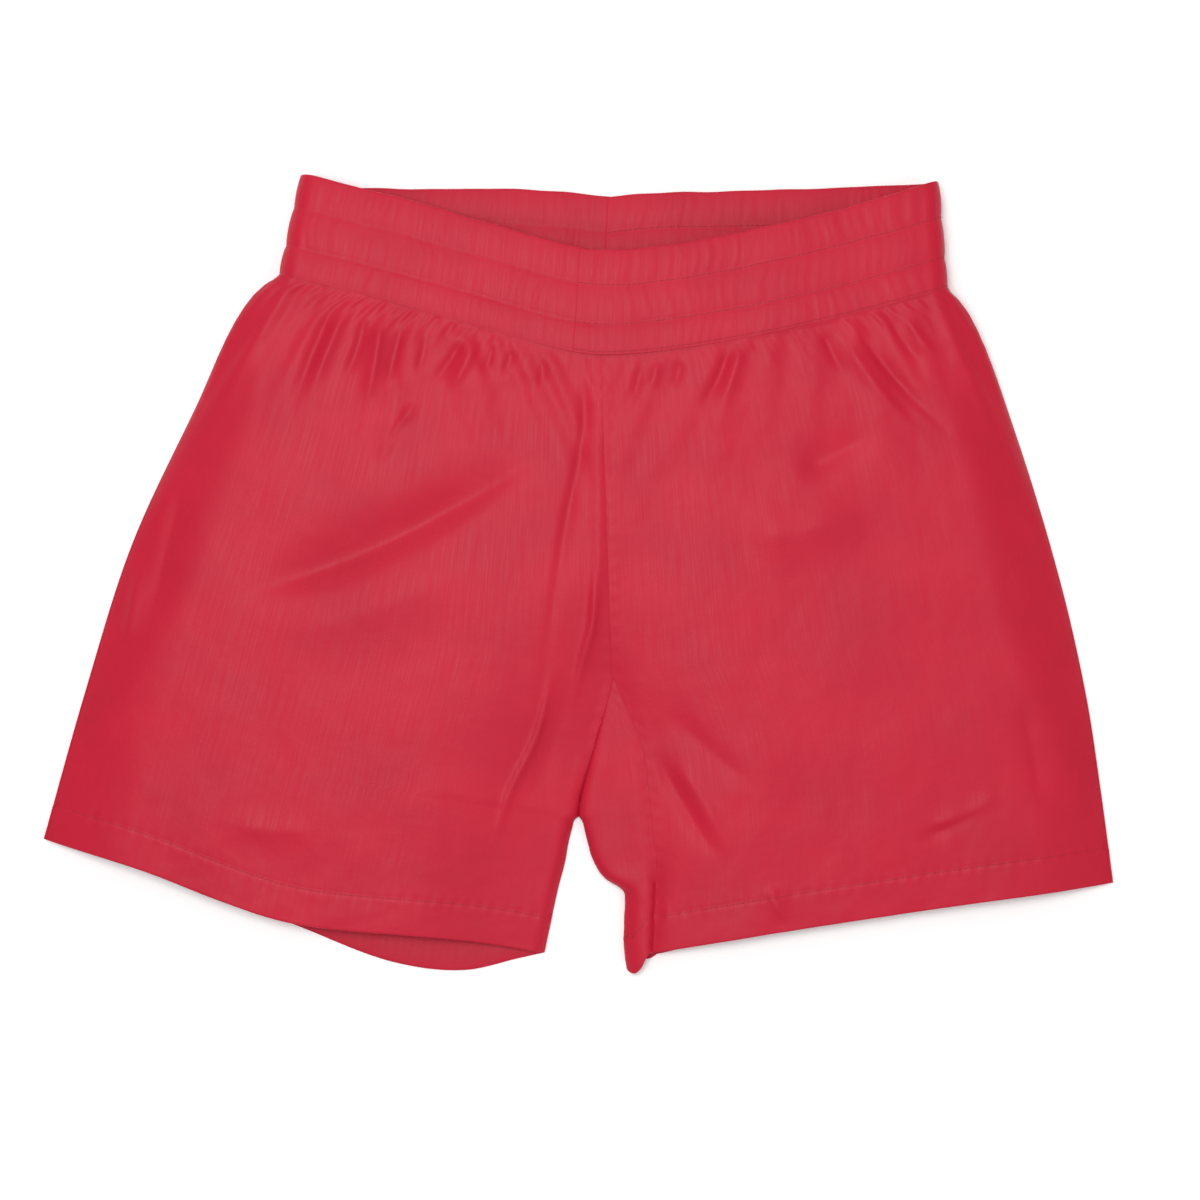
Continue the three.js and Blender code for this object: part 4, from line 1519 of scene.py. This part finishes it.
class SHORTS_OT_label(bpy.types.Operator):
    """Make the blank care label, held by the band's seam at the back"""

    bl_idname = "shorts.label"
    bl_label = "Care label"

    def execute(self, context):
        low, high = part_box("care_label")
        low, high = np.array(low) / MM, np.array(high) / MM
        across = np.linspace(0, 1, 31)[None]
        down = np.linspace(0, 1, 41)[:, None]
        x = (low[0] + high[0]) / 2 + LABEL_WIDTH * (across - 0.5) + 1.5 * down
        y = high[1] + LABEL_HELD - (LABEL_LENGTH - LABEL_HELD) * down
        lift = 1.3 + 2.4 * down**2 + 0.5 * np.sin(across * 3 + down * 2) + 3.0 * bell(down / 0.12)
        points = np.stack(np.broadcast_arrays(x, y, lift), -1)
        obj = grid_mesh("care_label_ribbon", points, label_material(), (0, 0, 1))
        thickened(obj, 0.2 * MM)
        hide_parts("care_label")
        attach(obj, "left_half")
        return {"FINISHED"}


# The stage, in metres.
CAMERA_HEIGHT = 1.6
VIEW_WIDTH = 0.636  # width of the camera's view at the floor
VIEW_CENTRE = (0.0114, -0.0135)
SENSOR = 36.0
FLOOR_SIZE = 3.0  # from its middle to its edges
FLOOR_HEIGHT = -0.0004


class SHORTS_OT_stage(bpy.types.Operator):
    """Make the floor, the soft lights and the camera above the shorts"""

    bl_idname = "shorts.stage"
    bl_label = "Stage"

    def execute(self, context):
        scene = context.scene
        mesh = bpy.data.meshes.new("floor")
        bm = bmesh.new()
        bmesh.ops.create_grid(bm, x_segments=1, y_segments=1, size=FLOOR_SIZE)
        bmesh.ops.translate(bm, verts=bm.verts, vec=(0, 0, FLOOR_HEIGHT))
        bm.to_mesh(mesh)
        bm.free()
        floor = finished("floor", mesh, floor_material())

        def area_light(name, place, size, power):
            light = bpy.data.lights.new(name, "AREA")
            light.shape = "RECTANGLE"
            light.size, light.size_y = size
            light.energy = power
            lamp = bpy.data.objects.new(name, light)
            lamp.location = place
            lamp.rotation_euler = (-Vector(place)).to_track_quat("-Z", "Y").to_euler()
            scene.collection.objects.link(lamp)

        area_light("key softbox", (-0.15, 0.15, 1.5), (0.7, 0.5), 13.2)
        area_light("rake softbox", (-0.6, 1.2, 0.75), (1.0, 0.4), 3.4)
        area_light("fill softbox", (1.05, -0.6, 1.3), (1.2, 1.2), 3.9)
        world = bpy.data.worlds.new("studio")
        world.use_nodes = True
        sky = world.node_tree.nodes["Background"].inputs
        sky["Color"].default_value = linear("#FFFFFF")
        sky["Strength"].default_value = 0.5
        scene.world = world
        scene.view_settings.view_transform = "Standard"

        camera = bpy.data.cameras.new("camera")
        camera.sensor_width = SENSOR
        camera.lens = SENSOR * CAMERA_HEIGHT / VIEW_WIDTH
        viewer = bpy.data.objects.new("camera", camera)
        viewer.location = (*VIEW_CENTRE, CAMERA_HEIGHT)
        scene.collection.objects.link(viewer)
        scene.camera = viewer
        return {"FINISHED"}


class SHORTS_PT_panel(bpy.types.Panel):
    """Lists the sizes, the colours and the pieces"""

    bl_label = "Boxing Shorts"
    bl_idname = "SHORTS_PT_panel"
    bl_space_type = "VIEW_3D"
    bl_region_type = "UI"
    bl_category = "Shorts"

    def draw(self, context):
        for group in (context.scene.shorts_sizes, context.scene.shorts_colours):
            column = self.layout.column(align=True)
            for name in group.__annotations__:
                column.prop(group, name)
        for operator in OPERATORS:
            self.layout.operator(operator.bl_idname)


OPERATORS = (
    SHORTS_OT_stage,
    SHORTS_OT_front_panels,
    SHORTS_OT_back_panels,
    SHORTS_OT_band_cloth,
    SHORTS_OT_elastic,
    SHORTS_OT_band_stitches,
    SHORTS_OT_hem_stitches,
    SHORTS_OT_overlock,
    SHORTS_OT_label,
)
CLASSES = (Sizes, Colours, *OPERATORS, SHORTS_PT_panel)


def register():
    for kind in CLASSES:
        bpy.utils.register_class(kind)
    bpy.types.Scene.shorts_sizes = bpy.props.PointerProperty(type=Sizes)
    bpy.types.Scene.shorts_colours = bpy.props.PointerProperty(type=Colours)


def unregister():
    del bpy.types.Scene.shorts_colours
    del bpy.types.Scene.shorts_sizes
    for kind in reversed(CLASSES):
        bpy.utils.unregister_class(kind)


def main():
    register()
    bpy.ops.shorts.stage()
    bpy.ops.shorts.front_panels()
    bpy.ops.shorts.back_panels()
    bpy.ops.shorts.band_cloth()
    bpy.ops.shorts.elastic()
    bpy.ops.shorts.band_stitches()
    bpy.ops.shorts.hem_stitches()
    bpy.ops.shorts.overlock()
    bpy.ops.shorts.label()
    bpy.context.view_layer.update()


if __name__ == "__main__":
    main()
